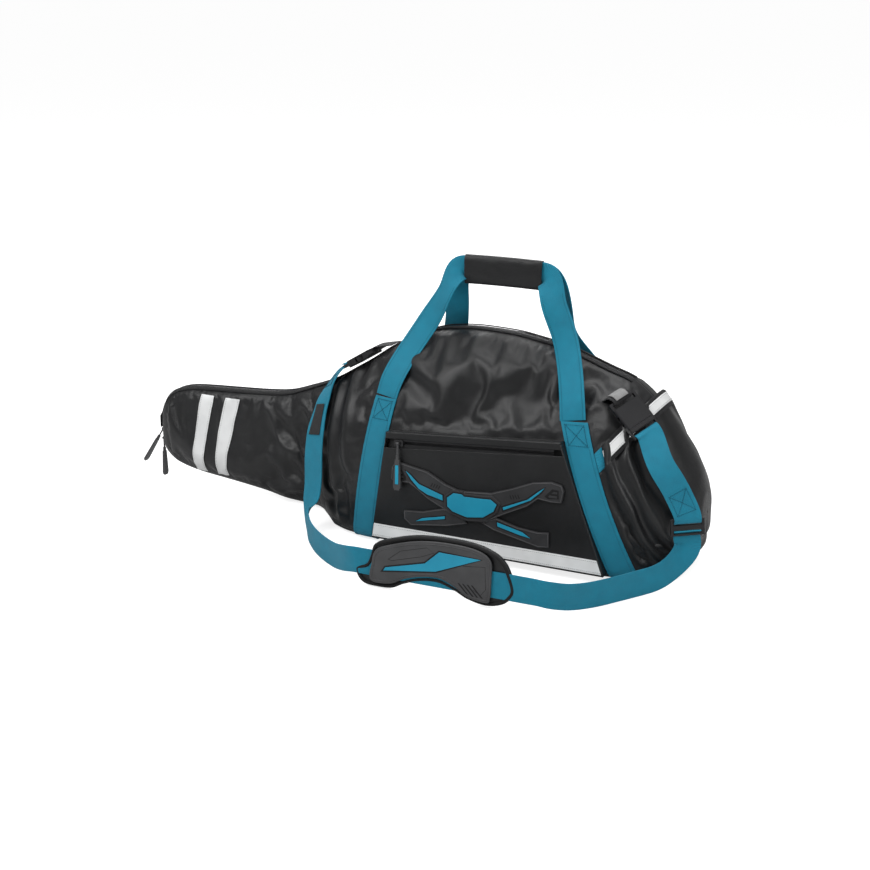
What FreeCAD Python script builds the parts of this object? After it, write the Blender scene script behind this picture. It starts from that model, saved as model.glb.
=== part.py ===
"""Carry bag for a long-bar saw: domed body, long flat sleeve, webbing handles and shoulder strap.

Frame: millimetres, +X along the bag towards its blunt end, -Y the front, +Z up.
Origin: on the floor, under the middle of the top grip.
"""
import FreeCAD, Part
import math
import os

V = FreeCAD.Vector
os.makedirs("parts", exist_ok=True)

# ---- driving dimensions -------------------------------------------------------------------
TIP_X = -640.0          # sleeve tip
END_X = 330.0           # blunt end
SEAM_X = -306.0         # seam between sleeve and main body
TOP_Z = 337.0           # highest point of the dome
HALF_DEPTH = 127.0      # half the depth of the dome
SLEEVE_HALF = 34.0      # half the thickness of the sleeve
BASE_T = 3.6            # thickness of the stiff base
BASE_TOP = 13.0         # height of the base seam
WALL = 2.4              # padded wall
GAP = 0.3               # clearance between sewn layers
WEB_W = 40.0            # webbing width
WEB_T = 1.8             # webbing thickness
ZIP_HALF = 2.4          # half the width of the closed zip chain
TAPE_OUT = 6.0          # outer edge of the zip tape
BIND_W = 8.0            # binding width beside the zip
LEG_BOTTOM = (-184.0, 250.0)    # leg centre lines where they pass under the base
LEG_TOP = (-156.0, 152.0)       # and at the stitched squares
STITCH_Z = TOP_Z - 101.0    # top of the stitched squares, where the loops hinge
LOOP_OUT = 3.2          # how far the loops' feet stand off the wall
GRIP_Z = TOP_Z + 89.0    # middle of the grip
GRIP_L = 128.0          # length of the grip wrap
GRIP_H = 46.0           # outer height of the grip wrap
GRIP_D = 12.4           # outer depth of the grip wrap
PANEL_Y = -HALF_DEPTH - 9.0    # front pocket face at its foot
PANEL_LEAN = 0.08       # how far it leans back for each mm of height
PANEL_Z = 14.0          # foot of the pocket
PANEL_T = 2.0
PAD_Y = -285.0          # shoulder pad mid plane
PAD_X = 33.0
PAD_L = 238.0
PAD_H = 93.0
BUCKLE_W = 46.0
BUCKLE_T = 12.0
BAR_T = 2.6             # half thickness of the bars the webbing turns round
ZIP_Z = 66.0            # foot of the long zip at the sleeve tip
ZIP_END = 226.0         # its other end, at the blunt end's webbing
MAIN_SLIDER_Z = (92.0, 75.0)
PULL_TILT = 33.0        # how far the upper pull stands off the lower one
POCKET_PULL_TILT = 5.0
ZIP_A = (-118.0, 171.0)         # ends of the front pocket's zip, x and z
ZIP_B = (132.0, 188.0)
GLIDE_AT, GLIDE_AX, GLIDE_AZ = (331.0, -80.0, 92.0), (-0.08, 0.02, 1.0), (0.5, -0.86, 0.1)
POCKET_OUT = 9.0       # how far the end pocket stands off the wall
MOUTH = (186.6, 185.1)  # a point on the end pocket's slanted mouth, x and z
HEM_SET = 16.0         # the hem stops this far from the legs' webbing
LEFT_AX, LEFT_AZ = (0.854, 0.0, 0.52), (-0.52, 0.0, 0.854)
LEFT_BUCKLE = (-256.0, 0.0, TOP_Z - 78.5)      # mouth of the socket
RIGHT_AX, RIGHT_AZ = (-0.70, 0.12, 0.70), (0.45, -0.65, 0.60)
RIGHT_BUCKLE = (252.4, -0.6 * HALF_DEPTH - 2.6, TOP_Z - 97.8)


def outline():
    """Stations along the bag: x, lower edge z, ridge z, half depth."""
    top, half, thin, b = TOP_Z, HALF_DEPTH, SLEEVE_HALF, -3.0
    run = SEAM_X - TIP_X
    return [
        (TIP_X, 68, 128, thin * 0.30), (TIP_X + 5, 58, 141, thin * 0.50), (TIP_X + 14, 48, 156, thin * 0.66),
        (TIP_X + 33, 37, 170, thin * 0.82), (TIP_X + run * 0.21, 28, 179, thin * 0.92),
        (TIP_X + run * 0.42, 20, 183, thin), (TIP_X + run * 0.63, 11, 187, thin),
        (SEAM_X - 80, 3, 192, thin * 1.03), (SEAM_X - 41, 1, 204, thin * 1.15),
        (SEAM_X, 0, top - 118, thin * 1.60), (-280, b, top - 105, half * 0.58), (-252, b, top - 88, half * 0.76),
        (-222, b, top - 70, half * 0.89), (-190, b, top - 48, half * 0.96), (-143, b, top - 22, half),
        (-91, b, top - 5, half), (-39, b, top, half), (20, b, top - 2, half), (61, b, top - 8, half),
        (102, b, top - 16, half), (143, b, top - 29, half), (179, b, top - 42, half * 0.985),
        (END_X - 118, b, top - 53, half * 0.95), (END_X - 90, b, top - 73, half * 0.89),
        (END_X - 67, 0, top - 100, half * 0.80), (END_X - 44, 6, top - 133, half * 0.65),
        (END_X - 24, 22, top - 162, half * 0.46), (END_X - 9, 44, top - 191, half * 0.27),
        (END_X, 74, top - 219, half * 0.12),
    ]


def section(x, lo, hi, half, grow):
    """Half a cross-section at one station, from the ridge down the side to the middle of the base."""
    dome = min(max((x + 325.0) / 70.0, 0.0), 1.0) * min(max((END_X + 8 - x) / 60.0, 0.0), 1.0)
    mid = lo + (hi - lo) * (0.5 - 0.35 * dome)
    up, down, wide = hi + grow - mid, mid - lo + grow, half + grow
    m_up, n_up = 2.0 - 0.25 * dome, 2.6 - 0.3 * dome
    n_low = 2.6 + 2.2 * dome
    side = []
    steps = 60
    for i in range(steps + 1):
        a = math.pi / 2 * (1 - i / steps)
        side.append((wide * abs(math.cos(a)) ** (2 / m_up), mid + up * abs(math.sin(a)) ** (2 / n_up)))
    for i in range(1, steps + 1):
        a = math.pi / 2 * i / steps
        side.append((wide * abs(math.cos(a)) ** (2 / n_low), mid - down * abs(math.sin(a)) ** (2 / n_low)))
    side = resample(side, 22)
    side[0] = (0.0, side[0][1])
    side[-1] = (0.0, side[-1][1])
    return side


def resample(pts, count):
    """The same polyline with count + 1 evenly spaced points."""
    run = [0.0]
    for p, q in zip(pts, pts[1:]):
        run.append(run[-1] + math.hypot(q[0] - p[0], q[1] - p[1]))
    out = []
    for k in range(count + 1):
        s = k / count * run[-1]
        j = 0
        while j < len(run) - 2 and run[j + 1] < s:
            j += 1
        f = (s - run[j]) / max(run[j + 1] - run[j], 1e-9)
        out.append((pts[j][0] + (pts[j + 1][0] - pts[j][0]) * f, pts[j][1] + (pts[j + 1][1] - pts[j][1]) * f))
    return out


_made = {}


def skin(rows):
    """One smooth face through rows of points."""
    surf = Part.BSplineSurface()
    surf.interpolate(rows)
    return surf.toShape()


def body(grow):
    """The bag's outer form, grown outwards everywhere by `grow`."""
    if grow not in _made:
        length = END_X - TIP_X
        right, left = [], []
        for x, lo, hi, half in outline():
            xs = TIP_X - grow + (x - TIP_X) * (length + 2 * grow) / length
            side = section(x, lo, hi, half, grow)
            right.append([V(xs, y, z) for y, z in side])
            left.append([V(xs, -y, z) for y, z in side])
        faces = [skin(right), skin(left)]
        for end in (right[0][0].x, right[-1][0].x):
            rim = [e for f in faces for e in f.Edges
                   if abs(e.BoundBox.XMin - end) < 0.01 and abs(e.BoundBox.XMax - end) < 0.01]
            faces.append(Part.Face(Part.Wire(Part.__sortEdges__(rim))))
        shell = Part.Shell(faces)
        shell.sewShape(0.01)
        shell = shell.Shells[0]
        solid = Part.Solid(shell)
        if solid.Volume < 0:
            solid.reverse()
        _made[grow] = solid
    return _made[grow]


def layer(low, high):
    """The skin between two grown forms."""
    key = ("layer", low, high)
    if key not in _made:
        _made[key] = body(high).cut(body(low))
    return _made[key]


def box(x0, x1, y0, y1, z0, z1):
    return Part.makeBox(x1 - x0, y1 - y0, z1 - z0, V(x0, y0, z0))


def prism(pts, y0, y1):
    """A closed outline in X and Z, extruded from y0 to y1."""
    ring = [V(x, y0, z) for x, z in pts] + [V(pts[0][0], y0, pts[0][1])]
    return Part.Face(Part.makePolygon(ring)).extrude(V(0, y1 - y0, 0))


def panel_y(z, out=0.0):
    """Front pocket face at height z, moved out towards the front by `out`."""
    return PANEL_Y + (z - PANEL_Z) * PANEL_LEAN - out


def leaning(pts, low, high):
    """An outline in X and Z laid on the leaning pocket face, from `low` to `high` off it."""
    back = [V(x, panel_y(z, low), z) for x, z in pts]
    face = Part.Face(Part.makePolygon(back + [back[0]]))
    return face.extrude(V(0, -(high - low), 0))


def ribbon(pts, normals, width=WEB_W, thick=WEB_T, out=0.0, step=20.0):
    """A flat band along a smooth path; each normal says which way its flat side faces."""
    path = Part.BSplineCurve()
    path.interpolate(Points=[V(*p) for p in pts])
    knots = [path.parameter(V(*p)) for p in pts]
    count = max(int(path.length() / step), len(pts))
    wires = []
    for i in range(count + 1):
        u = path.parameterAtDistance(path.length() * i / count, path.FirstParameter) if i else path.FirstParameter
        j = max(k for k in range(len(knots) - 1) if knots[k] <= u + 1e-9 or k == 0)
        f = min(max((u - knots[j]) / (knots[j + 1] - knots[j]), 0.0), 1.0)
        f = f * f * (3 - 2 * f)
        t = path.tangent(u)[0].normalize()
        nv = V(*normals[j]).normalize() * (1 - f) + V(*normals[j + 1]).normalize() * f
        nv = (nv - t * nv.dot(t)).normalize()
        w = t.cross(nv).normalize()
        c = path.value(u) + nv * out
        ring = [c + w * (sw * width / 2) + nv * (sn * thick / 2)
                for sw, sn in ((-1, -1), (1, -1), (1, 1), (-1, 1))]
        wires.append(Part.makePolygon(ring + [ring[0]]))
    return Part.makeLoft(wires, True, False)


def leg_x(side, z):
    """Centre line of a sewn leg at height z."""
    u = z / STITCH_Z
    return LEG_BOTTOM[side] + (LEG_TOP[side] - LEG_BOTTOM[side]) * u


def leg_outline(side, low, high, inset=0.0):
    h = WEB_W / 2 - inset
    return [(leg_x(side, low) - h, low), (leg_x(side, low) + h, low),
            (leg_x(side, high) + h, high), (leg_x(side, high) - h, high)]


def panels():
    """Main walls, sleeve walls and stiff base, parted at the seams and at the zip."""
    wall = layer(-WALL, 0.0)
    zip_cut = box(TIP_X - 20, ZIP_END, -TAPE_OUT, TAPE_OUT, ZIP_Z, TOP_Z + 30)
    seam = box(TIP_X - 20, SEAM_X + 40, -GAP / 2, GAP / 2, -5, 100)
    seam = seam.fuse(box(ZIP_END - 1, END_X + 20, -GAP / 2, GAP / 2, -5, TOP_Z))
    parts = {}
    spans = (("sleeve", TIP_X - 20, SEAM_X - GAP, -5), ("main", SEAM_X + GAP, END_X + 20, BASE_TOP + GAP))
    for name, x0, x1, z0 in spans:
        region = wall.common(box(x0, x1, -200, 200, z0, TOP_Z + 30)).cut(zip_cut).cut(seam)
        region = region.common(box(x0, x1, -200, 200, 0, TOP_Z + 30))
        parts[name + "_front_wall"] = region.common(box(x0, x1, -200, 0, z0, TOP_Z + 30))
        parts[name + "_back_wall"] = region.common(box(x0, x1, 0, 200, z0, TOP_Z + 30))
    slab = body(0.0).common(box(SEAM_X + GAP, END_X + 20, -200, 200, 0, BASE_TOP))
    parts["base_panel"] = slab.cut(body(-WALL).common(box(TIP_X, END_X, -200, 200, BASE_T, 60)))
    return parts


def zip_parts():
    """Chain, tapes and bindings of the long zip over the ridge."""
    x0, x1 = TIP_X - 20, ZIP_END - GAP
    parts = {"main_zip_chain": layer(-WALL, 0.8).common(box(x0, x1, -ZIP_HALF, ZIP_HALF, ZIP_Z, TOP_Z + 30))}
    tapes, bindings = [], []
    for s in (-1, 1):
        a, b = sorted((s * (ZIP_HALF + GAP), s * (TAPE_OUT - GAP)))
        tapes.append(layer(-WALL, -0.9).common(box(x0, x1, a, b, ZIP_Z, TOP_Z + 30)))
        a, b = sorted((s * (TAPE_OUT + 0.2), s * (TAPE_OUT + BIND_W)))
        bindings.append(layer(GAP, 1.7).common(box(x0, ZIP_END - 4, a, b, 96, TOP_Z + 30)))
    parts["main_zip_tapes"] = Part.makeCompound(tapes)
    parts["ridge_bindings"] = Part.makeCompound(bindings)
    return parts


def sleeve_stripes():
    """Two slanted reflective bands on the front of the sleeve."""
    skin_band = layer(GAP, 0.9)
    parts = {}
    for i, (top, bottom) in enumerate((((-549, -524), (-563, -540)), ((-500, -473), (-516, -494)))):
        shape = prism([(bottom[0], 46), (bottom[1], 45), (top[1], 163), (top[0], 162)], -80, 0)
        parts["sleeve_stripe_%d" % (i + 1)] = skin_band.common(shape)
    return parts


def legs():
    """Webbing sewn to the front and back walls, from the floor up to the stitched squares."""
    band = layer(GAP, GAP + WEB_T)
    parts = {}
    for side, word in enumerate(("left", "right")):
        for face, y0, y1 in (("front", -200, -30), ("back", 30, 200)):
            shape = prism(leg_outline(side, 0.0, STITCH_Z - 5.6), y0, y1)
            parts["leg_%s_%s" % (face, word)] = band.common(shape)
    return parts


def pocket_outline(inset, low, high):
    """Pocket edge between the two front legs; `high` follows the rising zip."""
    left = [leg_x(0, z) + WEB_W / 2 + 2 * GAP + inset for z in (low, high(0))]
    right = [leg_x(1, z) - WEB_W / 2 - 2 * GAP - inset for z in (low, high(1))]
    return [(left[0], low), (right[0], low), (right[1], high(1)), (left[1], high(0))]


def zip_z(x):
    """Height of the front pocket's zip at x."""
    return ZIP_A[1] + (x - ZIP_A[0]) * (ZIP_B[1] - ZIP_A[1]) / (ZIP_B[0] - ZIP_A[0])


def pocket_parts():
    """Front pocket: a shallow pan with a slanted zip near its top."""
    edge = (-134.0, 132.0)
    block = prism(pocket_outline(0, PANEL_Z, lambda i: zip_z(edge[i]) + 16), -220, 0)
    hollow = prism(pocket_outline(PANEL_T, PANEL_Z + PANEL_T, lambda i: zip_z(edge[i]) + 14), -220, 0)
    low_x, high_x = -260.0, 360.0
    front = Part.Face(Part.makePolygon([V(low_x, panel_y(-40), -40), V(low_x, panel_y(260), 260), V(low_x, 0, 260),
                                        V(low_x, 0, -40), V(low_x, panel_y(-40), -40)]))
    behind = front.extrude(V(high_x - low_x, 0, 0))
    pan = block.common(behind).cut(hollow.common(behind.translated(V(0, PANEL_T, 0)))).cut(body(GAP))
    slit = [(low_x, zip_z(low_x) - TAPE_OUT), (high_x, zip_z(high_x) - TAPE_OUT),
            (high_x, zip_z(high_x) + TAPE_OUT), (low_x, zip_z(low_x) + TAPE_OUT)]
    upper = [slit[3], slit[2], (high_x, 300), (low_x, 300)]
    lower = [(low_x, -20), (high_x, -20), slit[1], slit[0]]
    parts = {"pocket_panel": pan.common(prism(lower, -220, 0)), "pocket_flange": pan.common(prism(upper, -220, 0))}
    a, b = ZIP_A[0] - 9, ZIP_B[0] + 4
    tapes = []
    for lo, hi in ((-TAPE_OUT + GAP, -ZIP_HALF - GAP), (ZIP_HALF + GAP, TAPE_OUT - GAP)):
        strip = [(a, zip_z(a) + lo), (b, zip_z(b) + lo), (b, zip_z(b) + hi), (a, zip_z(a) + hi)]
        tapes.append(leaning(strip, -PANEL_T + 0.2, -0.7))
    parts["pocket_zip_tapes"] = Part.makeCompound(tapes)
    chain = [(a, zip_z(a) - ZIP_HALF), (b, zip_z(b) - ZIP_HALF), (b, zip_z(b) + ZIP_HALF), (a, zip_z(a) + ZIP_HALF)]
    parts["pocket_chain"] = leaning(chain, -PANEL_T, 0.4)
    stripe = [(leg_x(0, 16) + 22, 17), (leg_x(1, 16) - 22, 17), (leg_x(1, 38) - 22, 38), (leg_x(0, 38) + 22, 38)]
    parts["front_stripe"] = leaning(stripe, GAP, 0.9)
    return parts


def badge_parts():
    """Crossed rubber badge on the pocket: two bent arms, a middle plate and coloured inlays."""
    up = [(-127, 134), (-120, 143), (-89, 138), (-66, 134), (-35, 119), (-12, 112), (40, 116), (74, 128), (107, 142),
          (136, 147), (153, 144), (157, 135), (154, 117), (138, 116), (117, 118), (100, 104), (63, 86), (33, 70), (3, 67),
          (-28, 76), (-65, 92), (-83, 104), (-97, 112), (-120, 110), (-128, 114)]
    low = [[(-105, 67), (-73, 70), (-38, 80), (-11, 76), (3, 62), (-32, 53), (-92, 45), (-104, 54)],
           [(25, 68), (50, 79), (85, 70), (119, 67), (136, 69), (137, 46), (120, 44), (86, 51), (47, 59)]]
    plate = [(-36, 100), (-22, 113), (-4, 113), (-1, 110), (29, 111), (44, 113), (58, 103), (53, 88), (33, 71), (3, 68),
             (-25, 76), (-35, 84)]
    inner = [(-31, 100), (-20, 109), (-6, 109), (-2, 106), (28, 107), (42, 108), (53, 101), (48, 89), (31, 77), (4, 73),
             (-21, 79), (-30, 86)]
    wing = [[(-104, 132), (-95, 127), (-79, 114), (-38, 102), (-37, 92), (-65, 98), (-80, 105), (-94, 118)],
            [(60, 98), (100, 116), (116, 130), (128, 138), (122, 129), (106, 114), (62, 92)]]
    wedge = [[(-84, 53), (-73, 60), (-34, 69), (-34, 64)], [(52, 73), (94, 64), (108, 56), (90, 58), (53, 66)]]
    parts = {}
    arms = leaning(up, GAP, 5.0)
    feet = leaning(low[0], GAP, 3.4).fuse(leaning(low[1], GAP, 3.4)).cut(leaning(grown(up, 0.8), 0, 9))
    middle = leaning(plate, 5.0 + GAP, 7.0)
    for w in wing:
        arms = arms.cut(leaning(w, 3.8, 9))
    for w in wedge:
        feet = feet.cut(leaning(w, 2.4, 9))
    middle = middle.cut(leaning(inner, 6.2, 9))
    parts["badge_arms"] = keep_big(arms)
    parts["badge_feet"] = feet
    parts["badge_plate"] = middle
    parts["badge_plate_inlay"] = leaning(grown(inner, -0.3), 6.4, 7.6)
    strips = [leaning(grown(w, -0.3), 4.0, 5.3) for w in wing] + [leaning(grown(w, -0.3), 2.6, 3.7) for w in wedge]
    parts["badge_strips"] = Part.makeCompound(strips)
    return parts


def grown(pts, by):
    """An outline with every edge moved outwards by `by` (inwards when negative)."""
    area = sum(p[0] * q[1] - q[0] * p[1] for p, q in zip(pts, pts[1:] + pts[:1]))
    s = 1 if area > 0 else -1
    out = []
    n = len(pts)
    for i in range(n):
        p, q, r = pts[i - 1], pts[i], pts[(i + 1) % n]
        n1 = unit((q[1] - p[1]) * s, (p[0] - q[0]) * s)
        n2 = unit((r[1] - q[1]) * s, (q[0] - r[0]) * s)
        k = by / max(1 + n1[0] * n2[0] + n1[1] * n2[1], 0.35)
        out.append((q[0] + (n1[0] + n2[0]) * k, q[1] + (n1[1] + n2[1]) * k))
    return out


def unit(a, b):
    d = math.hypot(a, b)
    return (a / d, b / d)


def keep_big(shape):
    """Drop slivers left by a cut."""
    solids = [s for s in shape.Solids if s.Volume > 60]
    return solids[0] if len(solids) == 1 else Part.makeCompound(solids)


def hem_band(low, high):
    """Slab between two distances from the mouth of the end pocket, as an outline in X and Z."""
    ux, uz = 0.634, 0.773
    x0, z0 = MOUTH
    pts = []
    for along, off in ((-260, low), (240, low), (240, high), (-260, high)):
        pts.append((x0 + ux * along + uz * off, z0 + uz * along - ux * off))
    return pts


def end_pocket():
    """Pocket wrapped round the blunt end, with its bound reflective hem and the webbing under it."""
    x_low = lambda z: leg_x(1, z) + WEB_W / 2 + 2 * GAP
    field = prism([(x_low(BASE_TOP) + 1, BASE_TOP + 1), (END_X + 40, BASE_TOP + 1), (END_X + 40, 300), (x_low(230), 300),
                   (x_low(230), 230)], -200, 200)
    mouth = prism(hem_band(0, 260), -200, 200)
    inside = field.common(prism([(x_low(BASE_TOP) + 3, BASE_TOP + 3), (END_X + 50, BASE_TOP + 3), (END_X + 50, 310),
                                 (x_low(230) + 2, 310), (x_low(230) + 2, 230)], -200, 200))
    pan = body(POCKET_OUT).cut(body(POCKET_OUT - 1.6).common(inside)).cut(body(GAP)).common(field).common(mouth)
    near = prism([(x_low(0) - 40, 0), (x_low(0) + HEM_SET, 0), (x_low(320) + HEM_SET, 320), (x_low(320) - 40, 320)],
                 -200, 200)
    pan = pan.cut(near.common(prism(hem_band(-5, 27), -200, 200)))
    hem = layer(POCKET_OUT + GAP, POCKET_OUT + 1.6).common(field).common(prism(hem_band(0, 27), -200, 200)).cut(near)
    band = prism(hem_band(6, 21), -200, 200)
    strip = layer(POCKET_OUT + 1.9, POCKET_OUT + 2.5).common(field).common(band).cut(near)
    strap = layer(GAP, GAP + 1.5).common(prism(hem_band(1, 26), -200, 200))
    strap = strap.common(prism([(x_low(0), 0), (END_X + 40, 0), (END_X + 40, 300), (x_low(STITCH_Z), 300),
                                (x_low(STITCH_Z), STITCH_Z)], -200, 200)).common(box(0, 400, -200, 200, 100, 400))
    return {"end_pocket": keep_big(pan), "end_hem": keep_big(hem), "end_stripe": keep_big(strip),
            "end_webbing": keep_big(strap)}


def loop_stations(s):
    """Centre points and facings of one carrying loop; s is -1 for the front, +1 for the back."""
    spread = (LEG_TOP[0] + (0 if s < 0 else 22), LEG_TOP[1] - (0 if s < 0 else 24))
    g = GRIP_L / 2
    lean = (0, s * 0.86, 0.5)
    rows = []
    for side, k in ((0, -1), (1, 1)):
        x0 = spread[side]
        ys = s * (stitch_y(x0) + LOOP_OUT)
        leg = [((x0, ys, STITCH_Z - 3.3), (k * 0.17, s, 0.25)),
               ((x0 + k * -8, ys - s * 14, STITCH_Z + 32), lean),
               ((x0 + k * -40, ys - s * 62, STITCH_Z + 105), lean),
               ((k * (g + 25), s * 19, GRIP_Z - 34), (k * 0.45, s * 0.8, 0.25)),
               ((k * (g + 9), s * 2.6, GRIP_Z - 1.5), (k * 0.1, s, 0.03))]
        rows.append(leg if side == 0 else leg[::-1])
    middle = [((x, s * 2.3, GRIP_Z), (0, s, 0)) for x in (-52, 0, 52)]
    rows = rows[0] + middle + rows[1]
    return [r[0] for r in rows], [r[1] for r in rows]


def stitch_y(x):
    """Half depth of the wall at the height of the stitched squares."""
    line = Part.makeLine(V(x, -200, STITCH_Z), V(x, 0, STITCH_Z))
    return -line.common(body(0.0)).BoundBox.YMin


def handle_parts():
    """Two free webbing loops, the wrap round the front one and its flap."""
    parts = {}
    for name, s in (("handle_front_loop", -1), ("handle_back_loop", 1)):
        pts, facing = loop_stations(s)
        parts[name] = keep_big(ribbon(pts, facing, width=WEB_W - 4).cut(body(GAP)))
    h, d, w, l = GRIP_H / 2, GRIP_D / 2, 2.2, GRIP_L / 2
    outer = rounded(-l, l, -d, d, GRIP_Z - h, GRIP_Z + h, d - 0.3)
    inner = rounded(-l - 1, l + 1, -d + w, d - w, GRIP_Z - h + w, GRIP_Z + h - w, d - w - 0.3)
    tube = outer.cut(inner)
    parts["grip_wrap"] = tube.common(box(-l - 1, l + 1, -d - 1, 1.2, GRIP_Z - h - 1, GRIP_Z + h + 1))
    parts["grip_flap"] = tube.common(box(-l - 1, l + 1, 1.5, d + 1, GRIP_Z - h - 1, GRIP_Z + h + 1))
    return parts


def rounded(x0, x1, y0, y1, z0, z1, r):
    b = box(x0, x1, y0, y1, z0, z1)
    return b.makeFillet(r, [e for e in b.Edges if abs(e.BoundBox.XLength - (x1 - x0)) < 0.01])


def place(shape, origin, ax, az):
    """Move a shape from its own frame: local X to ax, local Z towards az, origin to origin."""
    x = V(*ax).normalize()
    z = V(*az)
    z = (z - x * z.dot(x)).normalize()
    y = z.cross(x)
    m = FreeCAD.Matrix(x.x, y.x, z.x, origin[0], x.y, y.y, z.y, origin[1], x.z, y.z, z.z, origin[2], 0, 0, 0, 1)
    return shape.transformed(m)


def slider(across):
    """Zip slider over the chain, its outer face up; the pull's pin runs along local X."""
    lx, ly = (7.5, 4.8) if not across else (4.8, 7.5)
    plate = rounded_plate(lx, ly, 0.4, 2.4, 1.8)
    for s in (-1, 1):
        if across:
            plate = plate.fuse(box(*sorted((s * 2.8, s * 4.8)), -6, 6, -0.8, 0.6))
        else:
            plate = plate.fuse(box(-6, 6, *sorted((s * 2.8, s * 4.8)), -0.8, 0.6))
        plate = plate.fuse(box(*sorted((s * 2.5, s * 3.7)), -1.8, 1.8, 2.2, 6.2))
    pin = Part.makeCylinder(0.9, 6.6, V(-3.3, 0, 4.9), V(1, 0, 0))
    return plate.fuse(pin).removeSplitter()


def rounded_plate(lx, ly, z0, z1, r):
    b = box(-lx, lx, -ly, ly, z0, z1)
    return b.makeFillet(r, [e for e in b.Edges if abs(e.BoundBox.ZLength - (z1 - z0)) < 0.01])


def pull(length):
    """Link, ferrule and rubber tab hanging from the slider's pin towards local -Y."""
    link = Part.makeCylinder(2.1, 4.4, V(-2.2, 0, 4.9), V(1, 0, 0))
    link = link.fuse(box(-1.6, 1.6, -21, 0, 4.1, 5.7))
    link = link.cut(Part.makeCylinder(1.1, 8, V(-4, 0, 4.9), V(1, 0, 0)))
    ferrule = Part.makeCylinder(2.7, 8, V(0, -26, 4.9), V(0, 1, 0))
    tab_pts = [V(-3.6, -24.5, 2.9), V(3.6, -24.5, 2.9), V(6.2, -length + 5, 2.9), V(4, -length, 2.9),
               V(-4, -length, 2.9), V(-6.2, -length + 5, 2.9)]
    tab = Part.Face(Part.makePolygon(tab_pts + [tab_pts[0]])).extrude(V(0, 0, 4.2))
    groove = box(-3.1, 3.1, -length + 9, -33, 6.3, 8)
    inlay = box(-2.7, 2.7, -length + 9.4, -33.4, 6.4, 7.4)
    return link.fuse(ferrule).fuse(tab).cut(groove).removeSplitter(), inlay


def sliders():
    """Two sliders nose to nose on the sleeve's straight tip and one on the pocket."""
    parts = {}
    for name, z, tilt, length in (("upper", MAIN_SLIDER_Z[0], PULL_TILT, 76), ("lower", MAIN_SLIDER_Z[1], 0.0, 68)):
        origin = (TIP_X - 0.8, 0, z)
        parts["main_slider_" + name] = place(slider(True), origin, (0, -1, 0), (-1, 0, 0))
        tab, inlay = pull(length)
        for part, key in ((tab, "main_pull_"), (inlay, "main_pull_inlay_")):
            shape = place(part, origin, (0, -1, 0), (-1, 0, 0))
            shape.rotate(V(TIP_X - 0.8 - 4.9, 0, z), V(0, 1, 0), tilt)
            parts[key + name] = shape
    x = ZIP_A[0]
    z = zip_z(x)
    origin = (x, panel_y(z, 0.4), z)
    along = (1, PANEL_LEAN * (zip_z(1) - zip_z(0)), zip_z(1) - zip_z(0))
    out = (0, -1, PANEL_LEAN)
    parts["pocket_slider"] = place(slider(False), origin, along, out)
    tab, inlay = pull(72)
    for part, key in ((tab, "pocket_pull"), (inlay, "pocket_pull_inlay")):
        shape = place(part, origin, along, out)
        shape.rotate(V(*origin) + V(*out).normalize() * 4.9, V(*along), -POCKET_PULL_TILT)
        parts[key] = shape
    return parts


def buckle():
    """Side-release buckle in its own frame: X from the strap end to the tab end, Y across, Z its thickness."""
    w, t = BUCKLE_W / 2, BUCKLE_T / 2
    socket = rounded_bar(0, 46, w, t)
    socket = socket.cut(box(-1, 31, -w + 4, w - 4, -t + 2.6, t - 2.6))
    socket = socket.cut(box(10, 25, -w - 1, w + 1, -t + 2.6, t - 2.6))
    socket = socket.cut(box(36, 42.5, -w + 4, w - 4, -t - 1, t + 1))
    for a, b in ((-t - 1, -BAR_T), (BAR_T, t + 1)):
        socket = socket.cut(box(35, 50, -w - 1, w + 1, a, b))
    plug = rounded_bar(-17, -0.5, w, t)
    for a, b in ((-t - 1, -BAR_T), (BAR_T, t + 1)):
        plug = plug.cut(box(-20, -6, -w - 1, w + 1, a, b))
    plug = plug.cut(box(-13.5, -7.0, -w + 2.6, w - 2.6, -t - 1, t + 1))
    plug = plug.fuse(box(-1, 22, -4, 4, -t + 3.0, t - 3.0)).removeSplitter()
    prongs = []
    for s in (-1, 1):
        pts = [(0.0, 11), (0.0, 15), (11, 16.5), (12.5, w - 0.6), (18, w - 0.4), (23.5, w - 4.4), (22, 12.6), (10, 12)]
        ring = [V(x, s * y, -t + 3.0) for x, y in pts]
        prongs.append(Part.Face(Part.makePolygon(ring + [ring[0]])).extrude(V(0, 0, 2 * t - 6.0)))
    return socket, plug, prongs[0], prongs[1]


def rounded_bar(x0, x1, w, t):
    b = box(x0, x1, -w, w, -t, t)
    return b.makeFillet(2.4, [e for e in b.Edges if abs(e.BoundBox.XLength - (x1 - x0)) < 0.01])


def buckles():
    parts = {}
    for word, origin, ax, az in (("left", LEFT_BUCKLE, LEFT_AX, LEFT_AZ), ("right", RIGHT_BUCKLE, RIGHT_AX, RIGHT_AZ)):
        for key, shape in zip(("socket", "plug", "prong_a", "prong_b"), buckle()):
            parts["%s_%s" % (word, key)] = place(shape, origin, ax, az)
    return parts


def frame_of(origin, ax, az):
    x = V(*ax).normalize()
    z = V(*az)
    z = (z - x * z.dot(x)).normalize()
    return V(*origin), x, z.cross(x), z


def over_bar(o, x, z, start, turn):
    """First points of a band that comes up through a buckle's slot and turns over its bar."""
    s = 1 if turn > start else -1
    pts = [o + x * start - z * 2.2, o + x * (start + s * 0.2) + z * 2.6, o + x * (start + s * 3.4) + z * 4.6,
           o + x * turn + z * 3.8]
    facing = [x * -s, x * -s + z * 0.2, x * -s * 0.3 + z, z]
    return [tuple(p) for p in pts], [tuple(f) for f in facing]


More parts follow.
